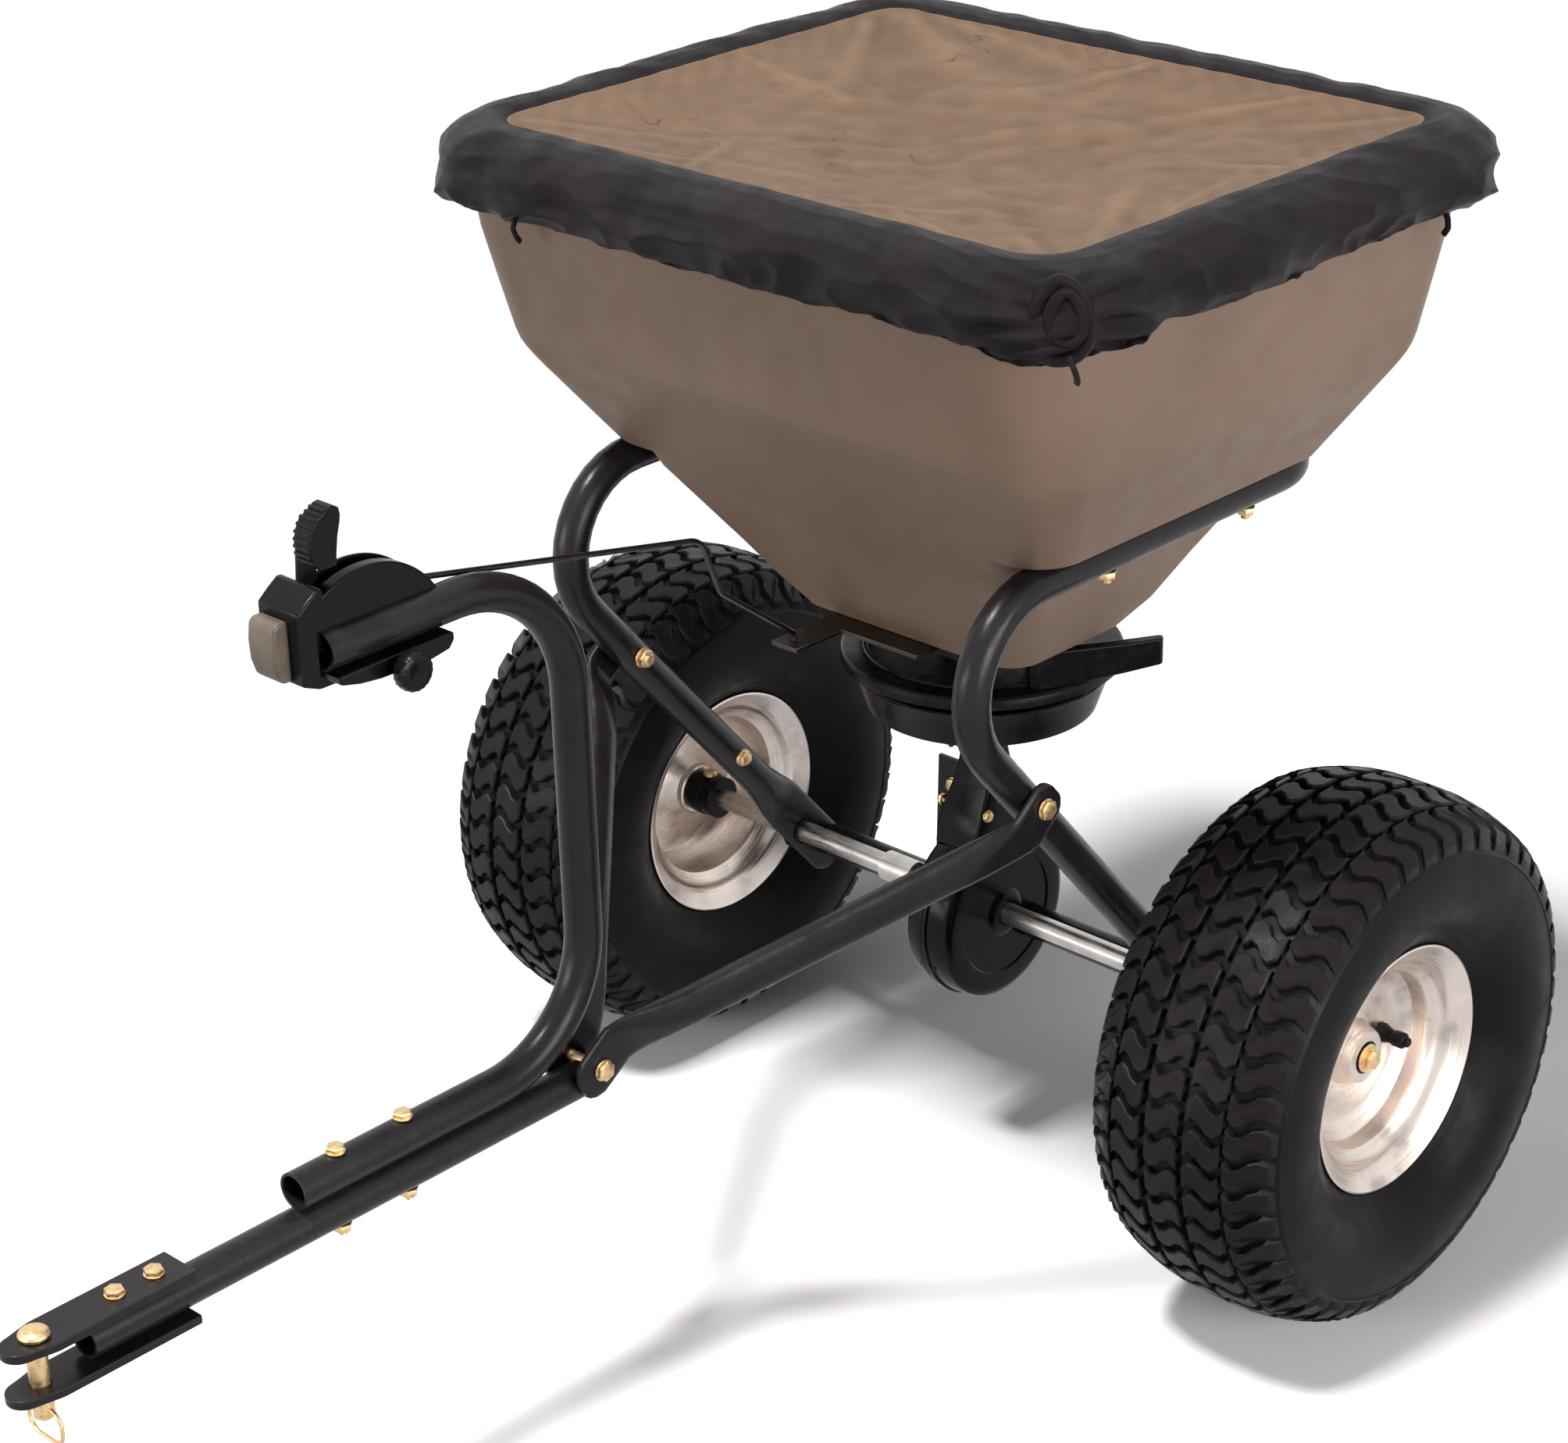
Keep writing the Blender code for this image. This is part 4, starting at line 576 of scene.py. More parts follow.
def woven(name, shades, sheen, weave, rough, creases, cracked=None):
    """Cloth with its threads on the piece's own UV map, creases, and dark cracks in a coating. With cracks it also
    gets painted shade in its hollows and painted light on its ridges.
    """
    made, nodes, links, shader = new_finish(name)
    fresh = tint(nodes, links, shader, speckle(nodes, links, 16, 6), shades)
    if cracked:
        lines = add_node(nodes, "MapRange", From_Min=0.0, From_Max=0.0075, To_Min=1.0, To_Max=0.0)
        off_middle = add_node(nodes, "Math", "SUBTRACT")
        off_middle.inputs[1].default_value = 0.5
        size = add_node(nodes, "Math", "ABSOLUTE")
        patches = add_node(nodes, "MapRange", From_Min=0.55, From_Max=0.66)
        both = add_node(nodes, "Math", "MULTIPLY")
        worn = add_node(nodes, "Mix", "RGBA", B=(*cracked, 1))
        links.new(speckle(nodes, links, 9, 3, (1.0, 2.6, 1.0)), off_middle.inputs[0])
        links.new(off_middle.outputs["Value"], size.inputs[0])
        links.new(size.outputs["Value"], lines.inputs["Value"])
        links.new(speckle(nodes, links, 7, 2), patches.inputs["Value"])
        links.new(lines.outputs["Result"], both.inputs[0])
        links.new(patches.outputs["Result"], both.inputs[1])
        links.new(both.outputs["Value"], worn.inputs["Factor"])
        links.new(fresh, worn.inputs["A"])
        # Painted shade and painted light: the colour is scaled by the mesh's pointiness, darker in the valleys of the
        # folds and lighter on their crests.
        shape = add_node(nodes, "NewGeometry")
        painted_fold_shade_and_light = add_node(nodes, "MapRange", From_Min=0.485, From_Max=0.512, To_Min=0.62, To_Max=1.18)
        shaded = add_node(nodes, "VectorMath", "SCALE")
        links.new(shape.outputs["Pointiness"], painted_fold_shade_and_light.inputs["Value"])
        links.new(worn.outputs["Result"], shaded.inputs["Vector"])
        links.new(painted_fold_shade_and_light.outputs["Result"], shaded.inputs["Scale"])
        links.new(shaded.outputs["Vector"], shader.inputs["Base Color"])
    threads = []
    for direction in ("X", "Y"):
        place = add_node(nodes, "TexCoord")
        wave = add_node(nodes, "TexWave", Scale=weave, Distortion=0.6, Detail_Scale=2.0)
        wave.bands_direction = direction
        links.new(place.outputs["UV"], wave.inputs["Vector"])
        threads.append((wave.outputs["Fac"], 0.00005))
    rumples = [(speckle(nodes, links, 55, 6), creases), (speckle(nodes, links, 14, 3), creases * 2.5)]
    emboss(nodes, links, shader, threads + rumples)
    vary_gloss(nodes, links, shader, speckle(nodes, links, 70, 5), rough - 0.08, rough + 0.10)
    shader.inputs["Sheen Weight"].default_value = sheen
    shader.inputs["Sheen Roughness"].default_value = 0.45
    shader.inputs["Specular IOR Level"].default_value = 0.15
    return made


panel_cloth = woven("tan_coated_cloth", [(0.25, times(TAN, 0.86)), (0.50, TAN), (0.75, times(TAN, 1.14))],
                    0.02, 900, 0.52, 0.0005, (0.035, 0.020, 0.012))
hem_cloth = woven("black_nylon", [(0.34, times(PLUM_BLACK, 0.55)), (0.55, PLUM_BLACK),
                                  (0.78, times(PLUM_BLACK, 2.2))], 0.0, 1100, 0.37, 0.0007)


def lay_flat(bm, place):
    """Give a cloth its UV map, with the place of each vertex on the flat sheet."""
    flat_map = bm.loops.layers.uv.new("flat")
    for face in bm.faces:
        for loop in face.loops:
            loop[flat_map].uv = place(loop.vert.co)


bm = bmesh.new()
bmesh.ops.create_grid(bm, x_segments=150, y_segments=126, size=1)
lay_flat(bm, lambda spot: (spot.x * PANEL_A, spot.y * PANEL_B))
for vert in bm.verts:
    u, v = vert.co.x * PANEL_A, vert.co.y * PANEL_B
    share = max(abs(vert.co.x), abs(vert.co.y))
    if share > 1e-6:
        rim = reach_of_round(u, v, PANEL_A, PANEL_B, PANEL_R) * share
        u, v = u * rim, v * rim
    inner = 1 - share ** 3
    lift = sum(fold(u, v, *line) for line in PANEL_FOLDS)
    crumple = (noise.noise(Vector((u * 13, v * 13, 0.3))) * 0.0050
               + noise.noise(Vector((u * 36, v * 36, 4.0))) * 0.0022)
    puckers = 0.0014 * math.sin(240 * (u + v)) * max(0.0, share - 0.82) / 0.18
    sag = -PANEL_SAG * (1 - share ** 2)
    vert.co = at(u, HOPPER_Y + v, PANEL_Z + sag + inner * (lift + crumple + puckers))
panel = finish_piece("cover_panel", bm, panel_cloth, "frame", ["rain_cover"], 80)
panel.modifiers.new("cloth", "SOLIDIFY").thickness = 0.0007
panel.modifiers["cloth"].offset = -1

HEM_LINE = [(0.2425, 0.2010, 0.026, 0.7886), (0.2485, 0.2070, 0.030, 0.7918), (0.2560, 0.2150, 0.040, 0.7936),
            (0.2650, 0.2250, 0.057, 0.7928), (0.2760, 0.2360, 0.064, 0.7890), (0.2855, 0.2455, 0.070, 0.7825),
            (0.2915, 0.2515, 0.074, 0.7740), (0.2940, 0.2540, 0.076, 0.7640), (0.2940, 0.2540, 0.076, 0.7550),
            (0.2915, 0.2515, 0.074, 0.7470), (0.2865, 0.2465, 0.071, 0.7415), (0.2815, 0.2415, 0.069, 0.7405),
            (0.2790, 0.2390, 0.068, 0.7440)]
HEM_ROUND = 900
HEM_ACROSS = 44


def on_round(share, half_x, half_y, radius):
    """The point a share of the way round a rounded rectangle, and the outward direction there."""
    long_x, long_y = 2 * (half_x - radius), 2 * (half_y - radius)
    quarter = math.pi / 2 * radius
    runs = [(long_y, "E"), (quarter, 0), (long_x, "N"), (quarter, 90), (long_y, "W"), (quarter, 180), (long_x, "S"),
            (quarter, 270)]
    left = (share % 1.0) * sum(length for length, _ in runs)
    for length, kind in runs:
        if left <= length:
            break
        left -= length
    part = left / length
    if kind == "E":
        return Vector((half_x, (part - 0.5) * long_y)), Vector((1, 0))
    if kind == "W":
        return Vector((-half_x, (0.5 - part) * long_y)), Vector((-1, 0))
    if kind == "N":
        return Vector(((0.5 - part) * long_x, half_y)), Vector((0, 1))
    if kind == "S":
        return Vector(((part - 0.5) * long_x, -half_y)), Vector((0, -1))
    angle = math.radians(kind + 90 * part)
    out = Vector((math.cos(angle), math.sin(angle)))
    centre = Vector((math.copysign(half_x - radius, math.cos(math.radians(kind + 45))),
                     math.copysign(half_y - radius, math.sin(math.radians(kind + 45)))))
    return centre + out * radius, out


def hem_station(across):
    """The hem's own line at a share of its width, between its given stations."""
    spot = across * (len(HEM_LINE) - 1)
    k = min(int(spot), len(HEM_LINE) - 2)
    low, high = Vector(HEM_LINE[k]), Vector(HEM_LINE[k + 1])
    return low.lerp(high, spot - k)


BUNCH = Vector((0.2650, -0.2300))
LOOP_STEPS = 36


def hem_point(around, across):
    """A point of the hem: its line, pushed out by gathers, puffs, slanting creases and the bunch."""
    half_x, half_y, radius, z = hem_station(across)
    spot, out = on_round(around, half_x, half_y, radius)
    base, _ = on_round(around, 0.28, 0.24, 0.066)
    drop = max(0.0, across - 0.12) / 0.88
    slant = base + Vector((across * 0.055, -across * 0.055))
    gathers = 1 - abs(noise.noise(Vector((base.x * 34, base.y * 34, across * 2.2)))) * 2.2
    puffs = noise.noise(Vector((slant.x * 15, slant.y * 15, 3 + across * 3.0)))
    creases = 1 - 2.4 * abs(noise.noise(Vector((slant.x * 24, slant.y * 24, 9 + across * 5.0))))
    ragged = noise.noise(Vector((base.x * 75, base.y * 75, 2)))
    away = (base - BUNCH).length
    corner = math.exp(-(away / 0.034) ** 2)
    rays = math.exp(-((away - 0.050) / 0.045) ** 2) * math.cos(26 * math.atan2(across - 0.55, (away + 0.02) * 9))
    swell = drop ** 0.8 * (0.0026 * gathers + 0.0088 * puffs + 0.0060 * creases + 0.0034 * rays) - 0.0050 * drop
    swell += corner * drop * (0.0040 + 0.0070 * noise.noise(Vector((base.x * 60, base.y * 60, across * 5))))
    waves = 0.0060 * noise.noise(Vector((base.x * 20, base.y * 20, 7)))
    sink = max(0.0, across - 0.45) / 0.55 * (waves - 0.006 * corner)
    sink += max(0.0, across - 0.80) / 0.20 * 0.0022 * ragged
    level = 0.0026 * noise.noise(Vector((base.x * 30, base.y * 30, across * 3 + 5)))
    level = level * min(1, across * 6) * (1 - drop)
    return at(spot.x + out.x * swell, HOPPER_Y + spot.y + out.y * swell, z + sink + level)


bm = bmesh.new()
bmesh.ops.create_grid(bm, x_segments=HEM_ROUND, y_segments=HEM_ACROSS, size=0.5)
lay_flat(bm, lambda spot: (spot.x * HEM_LONG, spot.y * HEM_WIDE))
for vert in bm.verts:
    vert.co = hem_point(vert.co.x + 0.5, vert.co.y + 0.5)
hem = finish_piece("cover_hem", bm, hem_cloth, "frame", ["rain_cover"], 80)
hem.modifiers.new("cloth", "SOLIDIFY").thickness = 0.0010
hem.modifiers["cloth"].offset = -1
bm = bmesh.new()
for turn, (reach, rise, thick) in enumerate(((0.0170, 0.0235, 0.0062), (0.0100, 0.0150, 0.0058))):
    loop_path = []
    for k in range(LOOP_STEPS):
        angle = math.tau * k / LOOP_STEPS
        aside = reach * math.sin(angle) * (1 - 0.25 * math.cos(angle))
        up = rise * math.cos(angle)
        loop_path.append(at(BUNCH.x + 0.0060 + aside * 0.72 + 0.004 * turn,
                            HOPPER_Y + BUNCH.y + 0.0070 + aside * 0.68, 0.7640 + up + 0.003 * turn))
    sizes = [(thick * (0.75 + 0.35 * math.sin(math.pi * k / LOOP_STEPS)), thick * 0.8, 1.0)
             for k in range(LOOP_STEPS)]
    draw_tube(bm, loop_path, sizes, Vector((0.7, -0.7, 0)), 16, closed=True)
for vert in bm.verts:
    wrinkle = noise.noise(vert.co * 150) * 0.0013 + noise.noise(vert.co * 60) * 0.0020
    vert.co += Vector((0.70, -0.70, 0.1)) * wrinkle
lay_flat(bm, lambda spot: (spot.x + spot.y, spot.z))
finish_piece("cover_bunch", bm, hem_cloth, "frame", ["rain_cover"], 80)
bm = bmesh.new()
cord_ends = (
    [(0.2820, -0.2480, 0.7450), (0.2880, -0.2500, 0.7390), (0.2885, -0.2480, 0.7330), (0.2850, -0.2440, 0.7290)],
    [(-0.1700, -0.2700, 0.7460), (-0.1690, -0.2735, 0.7400), (-0.1670, -0.2725, 0.7345), (-0.1680, -0.2690, 0.7310)],
    [(0.2830, 0.1320, 0.7460), (0.2875, 0.1310, 0.7400), (0.2885, 0.1305, 0.7340), (0.2850, 0.1310, 0.7290)])
for points in cord_ends:
    path = bent_path([at(*point) for point in points], [0.003, 0.003], 6)
    for ring in draw_tube(bm, path, [(0.0024, 0.0016, 1.0)] * len(path), Vector((0, 0, 1)), 14):
        close_end(bm, ring)
lay_flat(bm, lambda spot: (spot.x + spot.y, spot.z))
finish_piece("cover_cord_ends", bm, hem_cloth, "frame", ["rain_cover"], 80)

# Shutter guide and shutter: a moulded black block under the hopper's floor, and a flat steel plate
# that slides in its channel and opens the outlet.
BLACK = (0.0040, 0.0040, 0.0055)


def moulded_black(name, colour, smooth, rough):
    made, nodes, links, shader = new_finish(name)
    fresh = tint(nodes, links, shader, speckle(nodes, links, 30, 4), [(0.30, colour), (0.75, times(colour, 1.9))])
    show_wear(nodes, links, shader, fresh, (0.022, 0.021, 0.023), 220)
    vary_gloss(nodes, links, shader, speckle(nodes, links, 110, 5), smooth, rough)
    emboss(nodes, links, shader, [(speckle(nodes, links, 800, 3), 0.00007)])
    shader.inputs["Specular IOR Level"].default_value = 0.14
    return made


def bright_steel(name, colour, along):
    """Drawn steel with fine lines along one axis."""
    made, nodes, links, shader = new_finish(name, 1.0)
    stretch = tuple(0.06 if axis == along else 1.0 for axis in "XYZ")
    lines = speckle(nodes, links, 900, 3, stretch)
    tint(nodes, links, shader, speckle(nodes, links, 40, 5), [(0.30, times(colour, 0.70)), (0.60, colour)])
    vary_gloss(nodes, links, shader, lines, 0.22, 0.42)
    emboss(nodes, links, shader, [(lines, 0.00004), (speckle(nodes, links, 120, 4), 0.00004)])
    return made


black_nylon = moulded_black("black_moulding", BLACK, 0.20, 0.36)
plate_steel = bright_steel("blackened_steel", (0.085, 0.075, 0.070), "Y")


def dressed_copy(name, node, look, body, width):
    """A piece with the shape of its node and softened edges."""
    bm = bmesh.new()
    bm.from_mesh(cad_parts[node].data)
    bmesh.ops.remove_doubles(bm, verts=bm.verts, dist=2e-5)
    bmesh.ops.dissolve_limit(bm, angle_limit=math.radians(1.0), verts=bm.verts, edges=bm.edges, delimit=set())
    soften(finish_piece(name, bm, look, body, [node], 40), width, 2, 30)


dressed_copy("guide_block", "shutter_guide", black_nylon, "frame", 0.0008)
dressed_copy("shutter", "shutter_plate", plate_steel, "shutter", 0.0003)

# Spinner shield: a moulded disc above the spinner with a turned down rim, two swept side wings that
# hold the spread to the front, and two posts up to the shutter guide.
SHIELD_Z = 0.400
bm = bmesh.new()
shield_line = [(0.4000, 0.0125), (0.4000, 0.0960), (0.3992, 0.0978), (0.3970, 0.0990), (0.3940, 0.0998),
               (0.3940, 0.1022), (0.3975, 0.1022), (0.4010, 0.1014), (0.4026, 0.0998), (0.4030, 0.0975),
               (0.4030, 0.0860), (0.4042, 0.0850), (0.4042, 0.0830), (0.4030, 0.0820), (0.4030, 0.0125)]
turn_profile(bm, shield_line, at(0, 0, 0), (0, 0, 1), 72)
finish_piece("shield_disc", bm, black_nylon, "frame", ["spinner_shield"], 30)
WING = [(0.0780, -0.0400), (0.0850, -0.0385), (0.0960, -0.0235), (0.1060, -0.0080), (0.1200, 0.0140),
        (0.1325, 0.0375), (0.1322, 0.0405), (0.1292, 0.0440), (0.1262, 0.0425), (0.1120, 0.0180), (0.1000, -0.0010),
        (0.0900, -0.0160), (0.0790, -0.0300)]
for side, sign in (("left", -1), ("right", 1)):
    bm = bmesh.new()
    cut_plate(bm, [(sign * x, AXLE.y + y) for x, y in WING], [], SHIELD_Z + 0.001, 0.430)
    for vert in bm.verts:
        share = max(0.0, (abs(vert.co.x) - 0.085) / 0.048)
        vert.co.z += (0.0085 if vert.co.z < 0.41 else -0.0010) * min(1.0, share)
    post = Matrix.Translation(at(sign * 0.040, 0.012, 0.4130)) @ Matrix.Diagonal((0.008, 0.016, 0.0244, 1))
    bmesh.ops.create_cube(bm, size=1, matrix=post)
    wing = finish_piece("shield_wing_" + side, bm, black_nylon, "frame", ["spinner_shield"], 30)
    soften(wing, 0.0011, 3)

# Axle: a 16 mm steel shaft with a hole for a bolt in each end, in two plastic bearings in the legs,
# with a spacer sleeve between the gear case and the left leg.
axle_steel = bright_steel("drawn_steel", (0.66, 0.62, 0.59), "X")
AXLE_R = 0.008
AXLE_HALF = (axle_high.x - axle_low.x) / 2
bm = bmesh.new()
ends = [(-AXLE_HALF, 0.0043), (-AXLE_HALF, AXLE_R - 0.0010), (-AXLE_HALF + 0.0010, AXLE_R)]
turn_profile(bm, [(-AXLE_HALF + 0.014, 0), (-AXLE_HALF + 0.014, 0.0043)] + ends
             + [(-x, r) for x, r in reversed(ends)] + [(AXLE_HALF - 0.014, 0.0043), (AXLE_HALF - 0.014, 0)],
             AXLE, (1, 0, 0), 40, closed=False)
finish_piece("axle_shaft", bm, axle_steel, "drive_axle", ["axle"], 30)
bm = bmesh.new()
turn_profile(bm, [(-0.095, 0.0083), (-0.095, 0.0109), (-0.0946, 0.0115), (-0.0654, 0.0115), (-0.065, 0.0109),
                  (-0.065, 0.0083)],
             AXLE, (1, 0, 0), 40)
finish_piece("spacer_sleeve", bm, axle_steel, "drive_axle", ["axle_spacer"], 30)
for side, sign in (("left", -1), ("right", 1)):
    bm = bmesh.new()
    line = [(LEG_X - 0.0035, 0.0083), (LEG_X - 0.0035, 0.0102), (LEG_X + 0.0029, 0.0102), (LEG_X + 0.0029, 0.0146),
            (LEG_X + 0.0033, 0.0150), (LEG_X + 0.0052, 0.0150), (LEG_X + 0.0060, 0.0142), (LEG_X + 0.0060, 0.0083)]
    turn_profile(bm, [(sign * x, r) for x, r in line], AXLE, (1, 0, 0), 40)
    finish_piece("leg_bearing_" + side, bm, black_nylon, "frame", ["axle_bearing_" + side], 30)

# Rims: pressed and spun steel, galvanised, in two halves round a hub tube. The outer face is a dish
# with stepped rings, and the brushing marks run round it.
WHEEL_X = 0.316
SILVER = (0.84, 0.75, 0.69)
RIM_EDGE = [(0.0436, 0.0764), (0.0468, 0.0790), (0.0497, 0.0824), (0.0522, 0.0862), (0.0534, 0.0887),
            (0.0550, 0.0898), (0.0563, 0.0894), (0.0567, 0.0882), (0.0558, 0.0866), (0.0542, 0.0844),
            (0.0521, 0.0815), (0.0498, 0.0784), (0.0474, 0.0758), (0.0452, 0.0742), (0.0430, 0.0734)]
RIM_LINE = RIM_EDGE + [(0.0412, 0.0725), (0.0392, 0.0706), (0.0372, 0.0668), (0.0356, 0.0646), (0.0332, 0.0637),
                       (0.0262, 0.0634), (0.0240, 0.0627), (0.0224, 0.0606), (0.0200, 0.0572), (0.0176, 0.0540),
                       (0.0162, 0.0500), (0.0156, 0.0440), (0.0152, 0.0330), (0.0150, 0.0262), (0.0158, 0.0240),
                       (0.0186, 0.0224), (0.0250, 0.0204), (0.0284, 0.0194), (0.0298, 0.0182), (0.0300, 0.0165),
                       (0.0300, 0.0118), (-0.0200, 0.0118), (-0.0200, 0.0184), (-0.0190, 0.0194), (-0.0150, 0.0202),
                       (-0.0080, 0.0262), (-0.0010, 0.0356), (0.0040, 0.0456), (0.0070, 0.0548), (0.0074, 0.0608),
                       (0.0050, 0.0630), (-0.0320, 0.0636), (-0.0352, 0.0646), (-0.0392, 0.0706), (-0.0416, 0.0726)]
RIM_LINE += [(-x, r) for x, r in reversed(RIM_EDGE)]
RIM_LINE += [(-0.0400, 0.0755), (-0.0335, 0.0664), (0.0335, 0.0664), (0.0400, 0.0755)]


def spun_metal(name, colour, centre):
    """Galvanised steel with fine rings round the axle, faint spangle and a few dark stains."""
    made, nodes, links, shader = new_finish(name, 1.0)
    place = add_node(nodes, "TexCoord")
    middle = add_node(nodes, "Mapping", Location=(0, -centre.y, -centre.z))
    parts = add_node(nodes, "SeparateXYZ")
    disc = add_node(nodes, "CombineXYZ")
    length = add_node(nodes, "VectorMath", "LENGTH")
    ring_place = add_node(nodes, "CombineXYZ")
    rings = add_node(nodes, "TexNoise", Scale=620, Detail=3)
    links.new(place.outputs["Object"], middle.inputs["Vector"])
    links.new(middle.outputs["Vector"], parts.inputs["Vector"])
    links.new(parts.outputs["Y"], disc.inputs["Y"])
    links.new(parts.outputs["Z"], disc.inputs["Z"])
    links.new(disc.outputs["Vector"], length.inputs[0])
    links.new(length.outputs["Value"], ring_place.inputs["X"])
    links.new(parts.outputs["X"], ring_place.inputs["Y"])
    links.new(ring_place.outputs["Vector"], rings.inputs["Vector"])
    shades = [(0.28, times(colour, 0.55)), (0.45, times(colour, 0.88)), (0.70, colour)]
    tint(nodes, links, shader, speckle(nodes, links, 34, 6), shades)
    vary_gloss(nodes, links, shader, rings.outputs["Fac"], 0.20, 0.40)
    emboss(nodes, links, shader, [(rings.outputs["Fac"], 0.00007), (speckle(nodes, links, 60, 4), 0.00010)])
    shader.inputs["Anisotropic"].default_value = 0.3
    return made


rim_zinc = spun_metal("spun_galvanised_steel", SILVER, AXLE)
for name, body, sign in (("drive", "drive_axle", -1), ("free", "free_wheel", 1)):
    bm = bmesh.new()
    turn_profile(bm, [(sign * (WHEEL_X + x), r) for x, r in RIM_LINE], Vector((0, AXLE.y, AXLE.z)), (1, 0, 0), 96)
    finish_piece(name + "_rim_pressing", bm, rim_zinc, body, [name + "_rim"], 28)

# Tyres: turf tyres of black rubber with a flat crown and five rows of low, curved blocks, staggered
# from row to row. The sidewall has a few moulded rings and a rib beside the rim.
TREAD_R = 0.1845
BLOCK_H = 0.0060
BLOCKS_ROUND = 48
RUBBER = (0.0075, 0.0062, 0.0072)
TYRE_LINE = [(0.0, 0.1845), (0.0120, 0.1845), (0.0260, 0.1836), (0.0400, 0.1811), (0.0520, 0.1775),
             (0.0600, 0.1745), (0.0660, 0.1712), (0.0705, 0.1668), (0.0740, 0.1610), (0.0752, 0.1600),
             (0.0758, 0.1590), (0.0752, 0.1580), (0.0762, 0.1535), (0.0778, 0.1460), (0.0785, 0.1370),
             (0.0780, 0.1280), (0.0760, 0.1195), (0.0728, 0.1125), (0.0690, 0.1068), (0.0655, 0.1025),
             (0.0640, 0.1010), (0.0628, 0.0988), (0.0600, 0.0960), (0.0575, 0.0938), (0.0562, 0.0918),
             (0.0545, 0.0904), (0.0526, 0.0890), (0.0505, 0.0850), (0.0478, 0.0808), (0.0440, 0.0774),
             (0.0400, 0.0764), (0.0560, 0.1040), (0.0700, 0.1340), (0.0610, 0.1660), (0.0300, 0.1740), (0.0, 0.1755)]


def tyre_rubber(name, colour):
    made, nodes, links, shader = new_finish(name)
    dusty = tuple(c * 2.4 + 0.004 for c in colour)
    shades = [(0.35, colour), (0.58, times(colour, 1.3)), (0.80, dusty)]
    fresh = tint(nodes, links, shader, speckle(nodes, links, 18, 6), shades)
    show_wear(nodes, links, shader, fresh, times(colour, 4.0), 150, 0.505, 0.62)
    vary_gloss(nodes, links, shader, speckle(nodes, links, 60, 6), 0.30, 0.50)
    emboss(nodes, links, shader, [(speckle(nodes, links, 520, 4), 0.00012), (speckle(nodes, links, 30, 3), 0.00030)])
    shader.inputs["Specular IOR Level"].default_value = 0.10
    return made


tyre_black = tyre_rubber("turf_tyre_rubber", RUBBER)


def tread_height(x):
    return TREAD_R - 0.0100 * (max(0.0, abs(x) - 0.0120) / 0.048) ** 2


def tread_block(bm, middle_x, half_wide, half_long, wave, phase, centre, side):
    """One block of a row, wrapped on the crown: wavy ends, slightly tapered and bevelled."""
    known = set(bm.verts)
    outline = []
    for k in range(6):
        u = -half_wide + 2 * half_wide * k / 5
        outline.append((u, -half_long + wave * math.sin(math.pi * u / half_wide)))
    for k in range(6):
        u = half_wide - 2 * half_wide * k / 5
        outline.append((u, half_long + wave * math.sin(math.pi * u / half_wide)))
    verts = [bm.verts.new((u, v, 0)) for u, v in outline]
    base = bm.faces.new(verts)
    pulled = bmesh.ops.extrude_face_region(bm, geom=[base], use_keep_orig=True)["geom"]
    top = [f for f in pulled if isinstance(f, bmesh.types.BMFace)][0]
    for vert in top.verts:
        vert.co.z = 0.85
    bmesh.ops.inset_region(bm, faces=[top], thickness=0.0010, use_even_offset=True)
    for vert in top.verts:
        vert.co.z = 1.0
    made = [vert for vert in bm.verts if vert not in known]
    for vert in made:
        u, v, up = vert.co
        x = middle_x + u * (1 - 0.05 * up)
        height = tread_height(x) - 0.0015 + (BLOCK_H + 0.0015) * up
        if abs(x) > 0.064:
            height -= (abs(x) - 0.064) ** 1.5 * 9.0
        angle = phase + v * (1 - 0.06 * up) / TREAD_R
        vert.co = centre + Vector((side * x, height * math.cos(angle), height * math.sin(angle)))
    return made


for name, body, sign in (("drive", "drive_axle", -1), ("free", "free_wheel", 1)):
    bm = bmesh.new()
    centre = Vector((sign * WHEEL_X, AXLE.y, AXLE.z))
    line = TYRE_LINE + [(-x, r) for x, r in reversed(TYRE_LINE[1:-1])]
    turn_profile(bm, [(sign * x, r) for x, r in line], centre, (1, 0, 0), 120)
    for row, middle_x in enumerate((-0.0600, -0.0312, 0.0, 0.0312, 0.0600)):
        outer = abs(middle_x) > 0.05
        made = tread_block(bm, middle_x, 0.0140 if outer else 0.0138, 0.0088, 0.0052 if row % 2 else -0.0052,
                           math.tau / BLOCKS_ROUND * 0.5 * (row % 2), centre, sign)
        parts = each_once(f for v in made for f in v.link_faces)
        parts += each_once(e for v in made for e in v.link_edges) + made
        bmesh.ops.spin(bm, geom=parts, cent=centre, axis=(1, 0, 0), angle=math.tau * (1 - 1 / BLOCKS_ROUND),
                       steps=BLOCKS_ROUND - 1, use_duplicate=True)
    finish_piece(name + "_turf_tyre", bm, tyre_black, body, [name + "_tyre"], 30)

